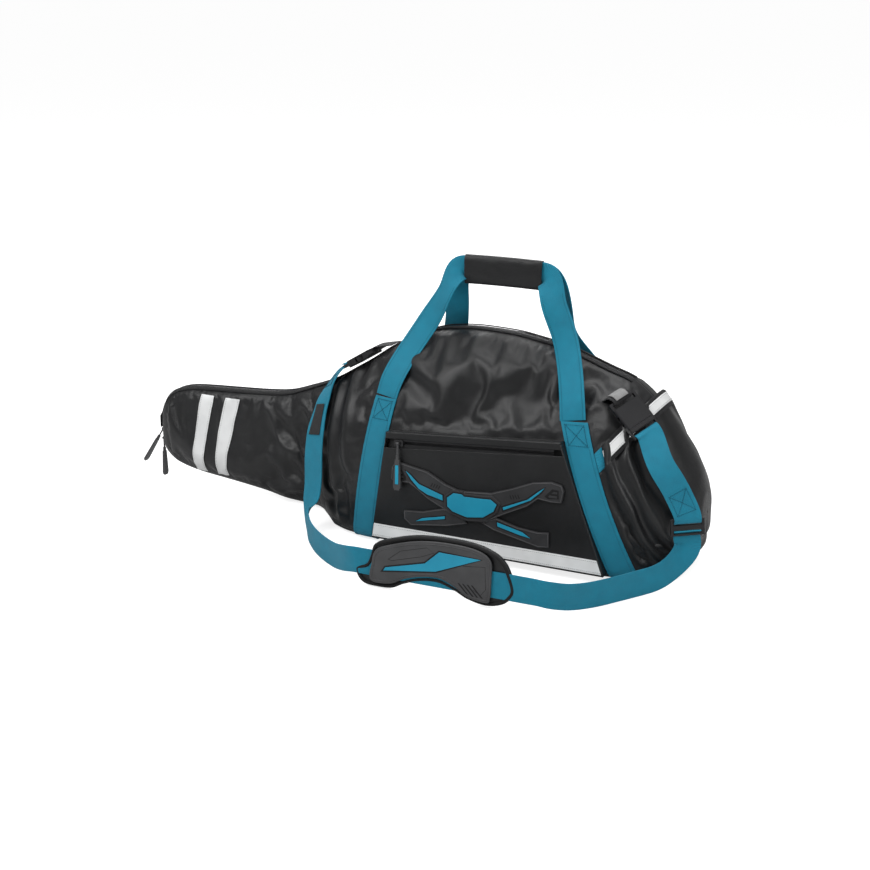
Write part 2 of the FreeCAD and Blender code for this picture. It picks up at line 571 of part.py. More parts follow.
def tabs_and_strap():
    """Sewn tabs that hold the buckles, the shoulder strap, its adjuster and its label."""
    parts = {}
    o, x, y, z = frame_of(LEFT_BUCKLE, LEFT_AX, LEFT_AZ)
    run, facing = over_bar(o, x, z, 41.2, 50.0)
    parts["left_tab"] = ribbon(run + [tuple(o + x * 64 - z * 1.0), tuple(o + x * 78 - z * 6.0)],
                               facing + [tuple(z)] * 2, width=32, thick=1.6, step=3.0)
    o2, x2, y2, z2 = frame_of(RIGHT_BUCKLE, RIGHT_AX, RIGHT_AZ)
    run, facing = over_bar(o2, x2, z2, 41.2, 49.0)
    tail = run + [tuple(o2 + x2 * 56 - z2 * 4.0), tuple(o2 + x2 * 59 - z2 * 16.0), tuple(o2 + x2 * 62 - z2 * 29.0)]
    facing = facing + [tuple(x2 + z2 * 0.8), tuple(x2), tuple(x2)]
    parts["right_tab"] = ribbon(tail, facing, width=32, thick=1.6, step=3.0)
    parts["right_tab_tip"] = ribbon(tail[2:6], facing[2:6], width=22, thick=1.2, out=2.2, step=5.0)

    start, face = over_bar(o, x, z, -12.2, -22.0)
    left = start + [(-286, -32, 229), (-290, -60, 195), (-290, -84, 150), (-288, -95, 100), (-287, -103, 58),
                    (-284, -122, 30), (-268, -150, 21.5), (-238, -188, 20.4), (-205, -218, 20.4), (-172, -244, 22.5),
                    (-140, -271, 31), (-112, PAD_Y, 38), (-92, PAD_Y, 38), (-50, PAD_Y, 38)]
    face = face + [(-0.72, -0.5, 0.5), (-0.55, -0.8, 0.25), (-0.35, -0.93, 0.1), (-0.3, -0.95, 0.05),
                   (-0.35, -0.93, 0), (-0.55, -0.83, -0.05), (-0.72, -0.69, 0), (-0.69, -0.72, 0), (-0.62, -0.78, 0),
                   (-0.62, -0.78, 0), (-0.5, -0.86, 0), (0, -1, 0), (0, -1, 0), (0, -1, 0)]
    c, gx, gy, gz = frame_of(GLIDE_AT, GLIDE_AX, GLIDE_AZ)
    rest = [(80, PAD_Y, 38), (120, PAD_Y, 38), (158, PAD_Y, 38), (178, PAD_Y, 38), (202, -270, 31), (228, -234, 22), (256, -192, 20.4),
            (286, -146, 21), (310, -112, 28)]
    rest += [tuple(c - gx * 34 - gz * 7), tuple(c - gx * 16 - gz * 6.2), tuple(c - gx * 7.0 - gz * 2.8),
             tuple(c - gx * 6.3 + gz * 1.6)]
    rest_face = [(0, -1, 0)] * 4 + [(0.55, -0.83, 0), (0.75, -0.66, 0), (0.83, -0.55, 0), (0.88, -0.45, 0.05),
                 (0.86, -0.5, 0.1), tuple(gz), tuple(gz), tuple(gz - gx * 0.9), tuple(gx * -1)]
    parts["shoulder_strap"] = ribbon(left + [(0, PAD_Y, 38), (40, PAD_Y, 38)] + rest, face + [(0, -1, 0)] * 2 + rest_face, step=11.0)
    end, end_face = over_bar(o2, x2, z2, -12.2, -22.8)
    up = [tuple(c + gx * 6.3 - gz * 1.6), tuple(c + gx * 7.0 + gz * 2.8), tuple(c + gx * 15 + gz * 5.6), (323, -88, 132),
          (309, -96, 162), (290, -98, 192)] + end[::-1]
    up_face = [tuple(gx * -1), tuple(gz - gx * 0.9), tuple(gz), (0.5, -0.85, 0.18), (0.5, -0.82, 0.28),
               (0.48, -0.76, 0.42)] + end_face[::-1]
    parts["strap_upper"] = ribbon(up, up_face, step=6.0)
    parts["strap_label"] = ribbon(left[5:7], face[5:7], width=26, thick=0.8, out=3.3)
    glide = box(-13, 13, -25, 25, -2, 2)
    glide = glide.makeFillet(1.6, [e for e in glide.Edges if abs(e.BoundBox.YLength - 50) < 0.01])
    for a, b in ((-9.5, -3.2), (3.2, 9.5)):
        glide = glide.cut(box(a, b, -21, 21, -4, 4))
    parts["tri_glide"] = place(glide, GLIDE_AT, GLIDE_AX, GLIDE_AZ)
    return parts


def ring(points):
    """Smooth closed outline on the pad, as a face; points are x from the pad's middle and z."""
    pts = [V(PAD_X + x * PAD_L / 238.0, 0, z * PAD_H / 93.0) for x, z in points]
    curve = Part.BSplineCurve()
    curve.interpolate(Points=pts, PeriodicFlag=True)
    return Part.Face(Part.Wire(curve.toShape()))


def pad_parts():
    """Shoulder pad: padded base behind the webbing, rubber shell bridging it in front."""
    outer = [(-140, 28), (-138, 14), (-128, 4), (-112, 1.5), (-83, 3), (-62, 13), (-36, 22), (-6, 25), (20, 17), (40, 8),
             (69, 3), (94, 9), (109, 22), (113, 36), (105, 60), (97, 73), (83, 84), (54, 93), (14, 95), (-36, 92),
             (-77, 82), (-108, 69), (-116, 50), (-123, 36)]
    inner = [(-113, 36), (-116, 16), (-106, 9.5), (-80, 12.5), (-59, 23), (-33, 31), (-3, 34), (22, 25), (42, 13), (70, 9),
             (77, 16), (79, 46), (78, 74), (56, 87), (12, 90), (-33, 86), (-74, 75), (-105, 61)]
    base = ring(outer).extrude(V(0, 8, 0)).translated(V(0, PAD_Y + WEB_T / 2 + 0.6, 0))
    shell = ring(inner).extrude(V(0, -5.4, 0)).translated(V(0, PAD_Y + WEB_T / 2 + 0.2, 0))
    slot = box(PAD_X - PAD_L, PAD_X + PAD_L, PAD_Y - WEB_T / 2 - 0.5, PAD_Y + 10, 17, 59)
    shell = shell.cut(slot)
    cx, y = PAD_X, PAD_Y - 4.5
    arrow = [(cx - 93, 31), (cx - 89, 37), (cx - 25, 54), (cx - 2, 75), (cx + 64, 74), (cx - 7, 44)]
    shell = shell.cut(prism(grown(arrow, 2.4), y - 3, y + 0.9))
    for i in range(4):
        x = cx + 27 + i * 7
        shell = shell.cut(prism([(x, 33), (x + 3, 33), (x + 19, 16), (x + 16, 16)], y - 3, y + 1.2))
    inlay = prism(arrow, y - 0.7, y + 0.7)
    return {"pad_base": base, "pad_shell": shell, "pad_inlay": inlay}


groups = (panels, zip_parts, sleeve_stripes, legs, pocket_parts, badge_parts, end_pocket, handle_parts, sliders, buckles,
          tabs_and_strap, pad_parts)
made = {}
for group in groups:
    made.update(group())
made["strap_upper"] = made["strap_upper"].cut(made["right_plug"])
made["right_tab"] = made["right_tab"].cut(body(0.0))
for name, shape in made.items():
    shape.exportStep("parts/" + name + ".step")
    print(name, shape.isValid(), len(shape.Solids), round(shape.Volume))
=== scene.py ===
"""Looks of the saw carry bag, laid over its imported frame. Metres, same frame as the parts."""
import math
import bmesh
import bpy
import numpy as np
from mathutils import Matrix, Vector, noise
from mathutils.bvhtree import BVHTree


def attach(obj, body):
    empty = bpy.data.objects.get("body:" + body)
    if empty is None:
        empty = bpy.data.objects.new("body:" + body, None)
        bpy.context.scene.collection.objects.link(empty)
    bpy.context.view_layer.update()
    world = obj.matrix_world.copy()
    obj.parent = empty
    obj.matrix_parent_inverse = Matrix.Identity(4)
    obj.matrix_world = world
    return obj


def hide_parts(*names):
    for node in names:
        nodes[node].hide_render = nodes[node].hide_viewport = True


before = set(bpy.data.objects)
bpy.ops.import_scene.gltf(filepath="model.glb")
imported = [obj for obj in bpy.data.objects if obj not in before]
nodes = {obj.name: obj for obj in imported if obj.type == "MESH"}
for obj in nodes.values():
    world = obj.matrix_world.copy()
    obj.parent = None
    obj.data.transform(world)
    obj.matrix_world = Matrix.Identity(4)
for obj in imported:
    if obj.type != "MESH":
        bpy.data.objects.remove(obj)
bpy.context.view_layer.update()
MM = 0.001

# ---- shape of the bag, the same stations as the parts --------------------------------------
TIP_X, END_X, SEAM_X, TOP_Z, HALF, THIN = -640.0, 330.0, -306.0, 337.0, 127.0, 34.0
LEG_BOTTOM, LEG_TOP, STITCH_Z = (-184.0, 250.0), (-156.0, 152.0), 236.0
GRIP_Z, GRIP_L, GRIP_H, GRIP_D = 426.0, 128.0, 46.0, 12.8
PANEL_Y, LEAN, PANEL_Z = -136.0, 0.08, 14.0
ZIP_A, ZIP_B, ZIP_END = (-118.0, 171.0), (132.0, 188.0), 226.0
PAD_Y, PAD_X = -285.0, 33.0
WEB_W, WEB_T, POCKET_OUT = 40.0, 1.8, 9.0

STATIONS = [
    (TIP_X, 68, 128, THIN * 0.30), (TIP_X + 5, 58, 141, THIN * 0.50), (TIP_X + 14, 48, 156, THIN * 0.66),
    (TIP_X + 33, 37, 170, THIN * 0.82), (-570, 28, 179, THIN * 0.92), (-500, 20, 183, THIN),
    (-430, 11, 187, THIN), (-386, 3, 192, THIN * 1.03), (-347, 1, 204, THIN * 1.15),
    (-306, 0, 219, THIN * 1.60), (-280, -3, 232, HALF * 0.58), (-252, -3, 249, HALF * 0.76),
    (-222, -3, 267, HALF * 0.89), (-190, -3, 289, HALF * 0.96), (-143, -3, TOP_Z - 22, HALF),
    (-91, -3, TOP_Z - 5, HALF), (-39, -3, TOP_Z, HALF), (20, -3, TOP_Z - 2, HALF), (61, -3, TOP_Z - 8, HALF),
    (102, -3, TOP_Z - 16, HALF), (143, -3, TOP_Z - 29, HALF), (179, -3, TOP_Z - 42, HALF * 0.985),
    (212, -3, 284, HALF * 0.95), (240, -3, 264, HALF * 0.89), (263, 0, 237, HALF * 0.80),
    (286, 6, 204, HALF * 0.65), (306, 22, 175, HALF * 0.46), (END_X - 9, 44, 146, HALF * 0.27),
    (END_X, 74, 118, HALF * 0.12),
]


def pchip(xs, ys, x):
    """Monotone cubic through the stations."""
    xs, ys, x = np.asarray(xs, float), np.asarray(ys, float), np.asarray(x, float)
    h, d = np.diff(xs), np.diff(ys) / np.diff(xs)
    m = np.zeros_like(ys)
    for i in range(1, len(xs) - 1):
        if d[i - 1] * d[i] > 0:
            w1, w2 = 2 * h[i] + h[i - 1], h[i] + 2 * h[i - 1]
            m[i] = (w1 + w2) / (w1 / d[i - 1] + w2 / d[i])
    m[0], m[-1] = d[0], d[-1]
    i = np.clip(np.searchsorted(xs, x) - 1, 0, len(h) - 1)
    t = (x - xs[i]) / h[i]
    return (ys[i] * (2 * t**3 - 3 * t**2 + 1) + m[i] * h[i] * (t**3 - 2 * t**2 + t)
            + ys[i + 1] * (-2 * t**3 + 3 * t**2) + m[i + 1] * h[i] * (t**3 - t**2))


def half_section(x, grow, count):
    """Points from the ridge down one side to the middle of the base, evenly spaced, with their distances."""
    lo, hi, half = (float(pchip([s[0] for s in STATIONS], [s[k] for s in STATIONS], x)) for k in (1, 2, 3))
    dome = min(max((x + 325.0) / 70.0, 0.0), 1.0) * min(max((END_X + 8 - x) / 60.0, 0.0), 1.0)
    mid = lo + (hi - lo) * (0.5 - 0.35 * dome)
    up, down, wide = hi + grow - mid, mid - lo + grow, half + grow
    m_up, n_up, n_low = 2.0 - 0.25 * dome, 2.6 - 0.3 * dome, 2.6 + 2.2 * dome
    a = np.linspace(math.pi / 2, 0, 90)
    y1 = wide * np.abs(np.cos(a)) ** (2 / m_up)
    z1 = mid + up * np.abs(np.sin(a)) ** (2 / n_up)
    b = np.linspace(0, math.pi / 2, 90)[1:]
    y2 = wide * np.abs(np.cos(b)) ** (2 / n_low)
    z2 = mid - down * np.abs(np.sin(b)) ** (2 / n_low)
    y, z = np.concatenate([y1, y2]), np.concatenate([z1, z2])
    run = np.concatenate([[0], np.cumsum(np.hypot(np.diff(y), np.diff(z)))])
    s = np.linspace(0, run[-1], count)
    return np.interp(s, run, y), np.interp(s, run, z), s


def smooth(e0, e1, v):
    t = min(max((v - e0) / (e1 - e0), 0.0), 1.0)
    return t * t * (3 - 2 * t)


def leg_x(side, z):
    return LEG_BOTTOM[side] + (LEG_TOP[side] - LEG_BOTTOM[side]) * z / STITCH_Z


def zip_z(x):
    return ZIP_A[1] + (x - ZIP_A[0]) * (ZIP_B[1] - ZIP_A[1]) / (ZIP_B[0] - ZIP_A[0])


def panel_y(z, out=0.0):
    return PANEL_Y + (z - PANEL_Z) * LEAN - out


def hem_off(x, z):
    """Distance beyond the slanted mouth of the end pocket."""
    return (x - 186.6) * 0.773 - (z - 185.1) * 0.634


# ---- materials -----------------------------------------------------------------------------
def material(name, slot, rough, build):
    mat = bpy.data.materials.new(name)
    mat.use_nodes = True
    tree = mat.node_tree
    bsdf = tree.nodes["Principled BSDF"]
    bsdf.inputs["Roughness"].default_value = rough
    bsdf.inputs["Specular IOR Level"].default_value = 0.35
    build(tree, bsdf)
    mat["slot"] = slot
    return mat


def node(tree, kind, **values):
    n = tree.nodes.new(kind)
    for key, value in values.items():
        if hasattr(n, key):
            setattr(n, key, value)
        else:
            n.inputs[key.replace("_", " ")].default_value = value
    return n


def coords(tree, which, scale=(1, 1, 1)):
    src = node(tree, "ShaderNodeTexCoord")
    mapping = node(tree, "ShaderNodeMapping")
    mapping.inputs["Scale"].default_value = scale
    tree.links.new(src.outputs[which], mapping.inputs["Vector"])
    return mapping.outputs["Vector"]


def ramp(tree, fac, stops):
    r = node(tree, "ShaderNodeValToRGB")
    while len(r.color_ramp.elements) < len(stops):
        r.color_ramp.elements.new(0.5)
    for e, (pos, col) in zip(r.color_ramp.elements, stops):
        e.position, e.color = pos, (*col, 1)
    tree.links.new(fac, r.inputs["Fac"])
    return r.outputs["Color"]


def bump(tree, bsdf, height, strength, distance, prior=None):
    b = node(tree, "ShaderNodeBump")
    b.inputs["Strength"].default_value = strength
    b.inputs["Distance"].default_value = distance
    tree.links.new(height, b.inputs["Height"])
    if prior:
        tree.links.new(prior, b.inputs["Normal"])
    tree.links.new(b.outputs["Normal"], bsdf.inputs["Normal"])
    return b.outputs["Normal"]


def tint(tree, bsdf, fac, dark, light, socket="Base Color"):
    tree.links.new(ramp(tree, fac, [(0.25, dark), (0.75, light)]), bsdf.inputs[socket])


def woven(dark, light, pitch, rough, sheen):
    """Coated cloth: crossed fine threads, faint blotches and a little sheen."""
    def build(tree, bsdf):
        uv = coords(tree, "UV")
        waves = []
        for axis in ("X", "Y"):
            w = node(tree, "ShaderNodeTexWave", wave_type="BANDS", bands_direction=axis)
            w.inputs["Scale"].default_value = 0.314 / pitch
            w.inputs["Distortion"].default_value = 0.6
            w.inputs["Detail"].default_value = 1.0
            tree.links.new(uv, w.inputs["Vector"])
            waves.append(w.outputs["Fac"])
        mul = node(tree, "ShaderNodeMath", operation="MAXIMUM")
        tree.links.new(waves[0], mul.inputs[0])
        tree.links.new(waves[1], mul.inputs[1])
        blot = node(tree, "ShaderNodeTexNoise")
        blot.inputs["Scale"].default_value = 22
        blot.inputs["Detail"].default_value = 4
        tree.links.new(coords(tree, "Object"), blot.inputs["Vector"])
        tint(tree, bsdf, blot.outputs["Fac"], dark, light)
        grain = node(tree, "ShaderNodeTexNoise")
        grain.inputs["Scale"].default_value = 900
        grain.inputs["Detail"].default_value = 2
        tree.links.new(coords(tree, "Object"), grain.inputs["Vector"])
        crease = node(tree, "ShaderNodeTexNoise")
        crease.inputs["Scale"].default_value = 12
        crease.inputs["Detail"].default_value = 3
        crease.inputs["Distortion"].default_value = 0.8
        tree.links.new(coords(tree, "Object", (1, 1, 0.6)), crease.inputs["Vector"])
        first = bump(tree, bsdf, crease.outputs["Fac"], 0.38, 0.005)
        first = bump(tree, bsdf, mul.outputs[0], 0.35, 0.00025, first)
        bump(tree, bsdf, grain.outputs["Fac"], 0.25, 0.0002, first)
        rr = node(tree, "ShaderNodeMapRange")
        rr.inputs["To Min"].default_value = rough - 0.05
        rr.inputs["To Max"].default_value = rough + 0.08
        tree.links.new(blot.outputs["Fac"], rr.inputs["Value"])
        tree.links.new(rr.outputs["Result"], bsdf.inputs["Roughness"])
        bsdf.inputs["Sheen Weight"].default_value = sheen
        bsdf.inputs["Sheen Roughness"].default_value = 0.4
    return build


def ribbed(dark, light, rib=0.0014, depth=0.0004):
    """Webbing: ribs across the band, fine threads along it, with painted shade between the ribs and threads,
    where the colour follows the rib height.
    """
    def build(tree, bsdf):
        uv = coords(tree, "UV")
        ribs = node(tree, "ShaderNodeTexWave", wave_type="BANDS", bands_direction="Y")
        ribs.inputs["Scale"].default_value = 0.314 / rib
        ribs.inputs["Distortion"].default_value = 0.25
        ribs.inputs["Detail Scale"].default_value = 3.0
        tree.links.new(uv, ribs.inputs["Vector"])
        thread = node(tree, "ShaderNodeTexWave", wave_type="BANDS", bands_direction="X")
        thread.inputs["Scale"].default_value = 0.314 / 0.0011
        tree.links.new(uv, thread.inputs["Vector"])
        both = node(tree, "ShaderNodeMath", operation="MULTIPLY_ADD")
        both.inputs[1].default_value = 0.35
        tree.links.new(thread.outputs["Fac"], both.inputs[0])
        tree.links.new(ribs.outputs["Fac"], both.inputs[2])
        blot = node(tree, "ShaderNodeTexNoise")
        blot.inputs["Scale"].default_value = 60
        tree.links.new(coords(tree, "Object"), blot.inputs["Vector"])
        mix = node(tree, "ShaderNodeMath", operation="MULTIPLY_ADD")
        mix.inputs[1].default_value = 0.62
        mix.inputs[2].default_value = 0.0
        tree.links.new(both.outputs[0], mix.inputs[0])
        add = node(tree, "ShaderNodeMath", operation="MULTIPLY_ADD")
        add.inputs[1].default_value = 0.4
        tree.links.new(blot.outputs["Fac"], add.inputs[0])
        tree.links.new(mix.outputs[0], add.inputs[2])
        # painted shade: the colour is darker where the rib height is low, between the ribs
        tint(tree, bsdf, add.outputs[0], dark, light)
        bump(tree, bsdf, both.outputs[0], 0.8, depth)
        bsdf.inputs["Sheen Weight"].default_value = 0.08
    return build


def moulded(dark, light, grain=700, depth=0.00015, strength=0.2):
    """Rubber or plastic with a fine moulded texture, painted highlights on its convex edges and painted
    shade in its hollows (from pointiness), and a random tone.
    """
    def build(tree, bsdf):
        obj = coords(tree, "Object")
        n = node(tree, "ShaderNodeTexNoise")
        n.inputs["Scale"].default_value = 35
        n.inputs["Detail"].default_value = 5
        tree.links.new(obj, n.inputs["Vector"])
        # pointiness paints highlights on convex edges and shade in hollows into the colour
        geo = node(tree, "ShaderNodeNewGeometry")
        edge_light_and_tone = node(tree, "ShaderNodeMath", operation="MULTIPLY_ADD")
        edge_light_and_tone.inputs[1].default_value = 0.6
        tree.links.new(geo.outputs["Pointiness"], edge_light_and_tone.inputs[0])
        half = node(tree, "ShaderNodeMath", operation="MULTIPLY")
        half.inputs[1].default_value = 0.4
        tree.links.new(n.outputs["Fac"], half.inputs[0])
        tree.links.new(half.outputs[0], edge_light_and_tone.inputs[2])
        tint(tree, bsdf, edge_light_and_tone.outputs[0], dark, light)
        fine = node(tree, "ShaderNodeTexNoise")
        fine.inputs["Scale"].default_value = grain
        tree.links.new(obj, fine.inputs["Vector"])
        bump(tree, bsdf, fine.outputs["Fac"], strength, depth)
    return build


def tape(tree, bsdf):
    """Reflective tape: pale, with a fine honeycomb of beads and slight creases."""
    obj = coords(tree, "Object")
    v = node(tree, "ShaderNodeTexVoronoi")
    v.inputs["Scale"].default_value = 600
    tree.links.new(obj, v.inputs["Vector"])
    n = node(tree, "ShaderNodeTexNoise")
    n.inputs["Scale"].default_value = 30
    n.inputs["Detail"].default_value = 4
    tree.links.new(obj, n.inputs["Vector"])
    tint(tree, bsdf, n.outputs["Fac"], (0.72, 0.73, 0.73), (0.86, 0.87, 0.87))
    first = bump(tree, bsdf, v.outputs["Distance"], 0.15, 0.0001)
    bump(tree, bsdf, n.outputs["Fac"], 0.3, 0.0012, first)


M = {
    "shell": material("coated_cloth", "shell_fabric", 0.36, woven((0.0045, 0.0048, 0.0054),
                        (0.009, 0.0094, 0.0104), 0.0011, 0.36, 0.04)),
    "binding": material("binding_tape", "binding", 0.75, ribbed((0.004, 0.004, 0.0045),
                        (0.016, 0.016, 0.018), 0.0011, depth=0.0006)),
    "web": material("teal_webbing", "webbing", 0.62, ribbed((0.002, 0.13, 0.215), (0.003, 0.265, 0.40))),
    "black_web": material("black_webbing", "black_webbing", 0.65, ribbed((0.005, 0.005, 0.006),
                                                                (0.02, 0.02, 0.022), 0.0012)),
    "grey_web": material("grey_webbing", "grey_webbing", 0.7, ribbed((0.12, 0.12, 0.12), (0.33, 0.33, 0.33),
                                                                0.0016)),
    "tape": material("reflective_tape", "reflective", 0.42, tape),
    "plastic": material("black_plastic", "buckle_plastic", 0.34, moulded((0.006, 0.006, 0.007),
                                                                (0.02, 0.02, 0.022), 900, 0.00008, 0.15)),
    "chain": material("zip_teeth", "zip_chain", 0.38, moulded((0.006, 0.006, 0.007), (0.022, 0.022, 0.024),
                                                              500, 0.0001, 0.1)),
    "metal": material("black_metal", "metal_black", 0.28, moulded((0.008, 0.008, 0.009),
                                                                (0.03, 0.03, 0.032), 400, 0.00006, 0.1)),
    "rubber": material("grey_rubber", "grey_rubber", 0.48, moulded((0.036, 0.036, 0.038),
                                                                (0.082, 0.082, 0.085), 800)),
    "dark_rubber": material("dark_rubber", "grey_rubber", 0.42, moulded((0.014, 0.014, 0.015),
                                                                (0.050, 0.050, 0.053), 800)),
    "blue": material("blue_rubber", "blue_rubber", 0.45, moulded((0.008, 0.22, 0.36), (0.018, 0.36, 0.54),
                                                                800)),
    # near-black painted shade for grooves, gaps round the inlays, vents and recessed marks
    "groove": material("groove_shade", "grey_rubber", 0.6, moulded((0.004, 0.004, 0.004),
                                                                (0.01, 0.01, 0.011), 500)),
    "thread": material("dark_thread", "binding", 0.7, moulded((0.012, 0.012, 0.014), (0.04, 0.04, 0.044),
                                                              1500)),
    "web_thread": material("webbing_thread", "webbing", 0.7, moulded((0.001, 0.018, 0.032),
                                                                (0.003, 0.035, 0.06), 1500)),
}


M["shell"].node_tree.nodes["Principled BSDF"].inputs["Specular IOR Level"].default_value = 0.45


# ---- mesh helpers --------------------------------------------------------------------------
def mesh_object(name, verts, faces, mat, uvs=None, shade=True):
    me = bpy.data.meshes.new(name)
    me.from_pydata([tuple(v) for v in verts], [], faces)
    if uvs is not None:
        layer = me.uv_layers.new(name="UVMap")
        uvs = np.asarray(uvs, float)
        idx = np.empty(len(me.loops), dtype=np.int32)
        me.loops.foreach_get("vertex_index", idx)
        layer.data.foreach_set("uv", uvs[idx].ravel())
    me.materials.append(mat)
    ob = bpy.data.objects.new(name, me)
    bpy.context.scene.collection.objects.link(ob)
    if shade:
        me.polygons.foreach_set("use_smooth", [True] * len(me.polygons))
    me.update()
    return ob


def grid_faces(rows, cols, flip=False):
    faces = []
    for i in range(rows - 1):
        for j in range(cols - 1):
            a, b, c, d = i * cols + j, i * cols + j + 1, (i + 1) * cols + j + 1, (i + 1) * cols + j
            faces.append((a, d, c, b) if flip else (a, b, c, d))
    return faces


def apply_all(ob):
    """Turn the modifiers into mesh."""
    dg = bpy.context.evaluated_depsgraph_get()
    me = bpy.data.meshes.new_from_object(ob.evaluated_get(dg))
    old = ob.data
    ob.modifiers.clear()
    ob.data = me
    bpy.data.meshes.remove(old)
    return ob


def thicken(ob, thick, offset=-1.0, bevel=0.0, sub=0):
    if sub:
        m = ob.modifiers.new("sub", "SUBSURF")
        m.levels = m.render_levels = sub
    m = ob.modifiers.new("thick", "SOLIDIFY")
    m.thickness, m.offset = thick, offset
    if bevel:
        b = ob.modifiers.new("bevel", "BEVEL")
        b.width, b.segments, b.limit_method = bevel, 2, "ANGLE"
    return apply_all(ob)


def finish_piece(ob, body, *cad):
    co = np.empty(len(ob.data.vertices) * 3)
    ob.data.vertices.foreach_get("co", co)
    co[2::3] = np.maximum(co[2::3], 0.0)
    ob.data.vertices.foreach_set("co", co)
    ob.data.update()
    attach(ob, body)
    if cad:
        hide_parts(*cad)
    return ob


def tree_of(*objects):
    verts, polys = [], []
    for o in objects:
        base = len(verts)
        verts += [v.co.copy() for v in o.data.vertices]
        polys += [tuple(base + i for i in p.vertices) for p in o.data.polygons]
    return BVHTree.FromPolygons(verts, polys)


def join(name, objects):
    bm = bmesh.new()
    mats = []
    for o in objects:
        for m in o.data.materials:
            if m not in mats:
                mats.append(m)
        before = len(bm.faces)
        bm.from_mesh(o.data)
        bm.faces.ensure_lookup_table()
        for f in bm.faces[before:]:
            f.material_index = mats.index(o.data.materials[f.material_index])
    me = bpy.data.meshes.new(name)
    bm.to_mesh(me)
    bm.free()
    for m in mats:
        me.materials.append(m)
    for o in objects:
        bpy.data.objects.remove(o)
    ob = bpy.data.objects.new(name, me)
    bpy.context.scene.collection.objects.link(ob)
    return ob


# ---- cloth pass ----------------------------------------------------------------------------
def relax(ob, pins, cap, grow=0.03, frames=20, pressure=0.0, stiff=8.0):
    """Let loose cloth buckle between its seams, hold each point within `cap`, and keep the result."""
    me = ob.data
    rest = np.empty(len(me.vertices) * 3)
    me.vertices.foreach_get("co", rest)
    rest = rest.reshape(-1, 3)
    group = ob.vertex_groups.new(name="seams")
    for i, w in enumerate(pins):
        if w > 0.001:
            group.add([i], float(w), "REPLACE")
    mod = ob.modifiers.new("cloth", "CLOTH")
    s = mod.settings
    s.quality = 5
    s.mass = 0.2
    s.tension_stiffness = s.compression_stiffness = 25
    s.shear_stiffness = 8
    s.bending_stiffness = stiff
    s.air_damping = 4
    s.vertex_group_mass = "seams"
    s.pin_stiffness = 2.0
    s.shrink_min = -grow
    s.use_pressure = pressure > 0
    s.uniform_pressure_force = pressure
    s.effector_weights.gravity = 0.12
    mod.collision_settings.use_collision = False
    mod.collision_settings.use_self_collision = False
    mod.point_cache.frame_start, mod.point_cache.frame_end = 1, frames
    for f in range(1, frames + 1):
        bpy.context.scene.frame_set(f)
    dg = bpy.context.evaluated_depsgraph_get()
    done = ob.evaluated_get(dg).to_mesh()
    co = np.empty(len(done.vertices) * 3)
    done.vertices.foreach_get("co", co)
    co = co.reshape(-1, 3)
    ob.modifiers.clear()
    bpy.context.scene.frame_set(1)
    move = np.nan_to_num(co - rest)
    size = np.linalg.norm(move, axis=1, keepdims=True)
    move *= cap * np.tanh(size / cap) / np.maximum(size, 1e-9)
    me.vertices.foreach_set("co", (rest + move).ravel())
    me.update()
    ob.vertex_groups.clear()


def folds(x, z, side):
    """Height of the large soft folds at a point of the wall, in millimetres."""
    q = Vector((x * 0.011, z * 0.011, 3.7 * side))
    h = 3.0 * noise.noise(q) + 1.5 * noise.noise(q * 2.3 + Vector((5, 1, 0)))
    neck = smooth(-330, -285, x) * (1 - smooth(-235, -195, x))
    h += neck * 4.2 * math.sin((x + 0.22 * z) * 0.16 + 1.2 * noise.noise(Vector((z * 0.012, 2, side))))
    blunt = smooth(235, 275, x)
    h += blunt * 2.0 * math.sin((x * 0.6 + z) * 0.07 + side)
    dome = smooth(-190, -60, x) * (1 - smooth(150, 230, x)) * smooth(190, 215, z) * (1 - smooth(300, 325, z))
    h += dome * 3.4 * math.sin((z * 0.9 - x * 0.30) * 0.055 + 1.6 * noise.noise(Vector((x * 0.006, z * 0.01,
                                                                side))))
    sleeve = 1 - smooth(-330, -300, x)
    h += sleeve * 2.2 * smooth(-520, -420, x) * math.sin((x * 0.5 - z * 1.2) * 0.075
                                                         + 2.0 * noise.noise(Vector((x * 0.01, z * 0.012,
                                                                9))))
    h += sleeve * 2.4 * smooth(-440, -370,
                        x) * math.sin((x + 0.9 * z) * 0.13 + 1.5 * noise.noise(Vector((x * 0.02, z * 0.02,
                                                                4))))
    h += 0.8 * noise.noise(q * 5.1 + Vector((2, 7, 1)))
    h -= sleeve * 1.5 * math.exp(-((x + 596) / 16) ** 2)
    return h


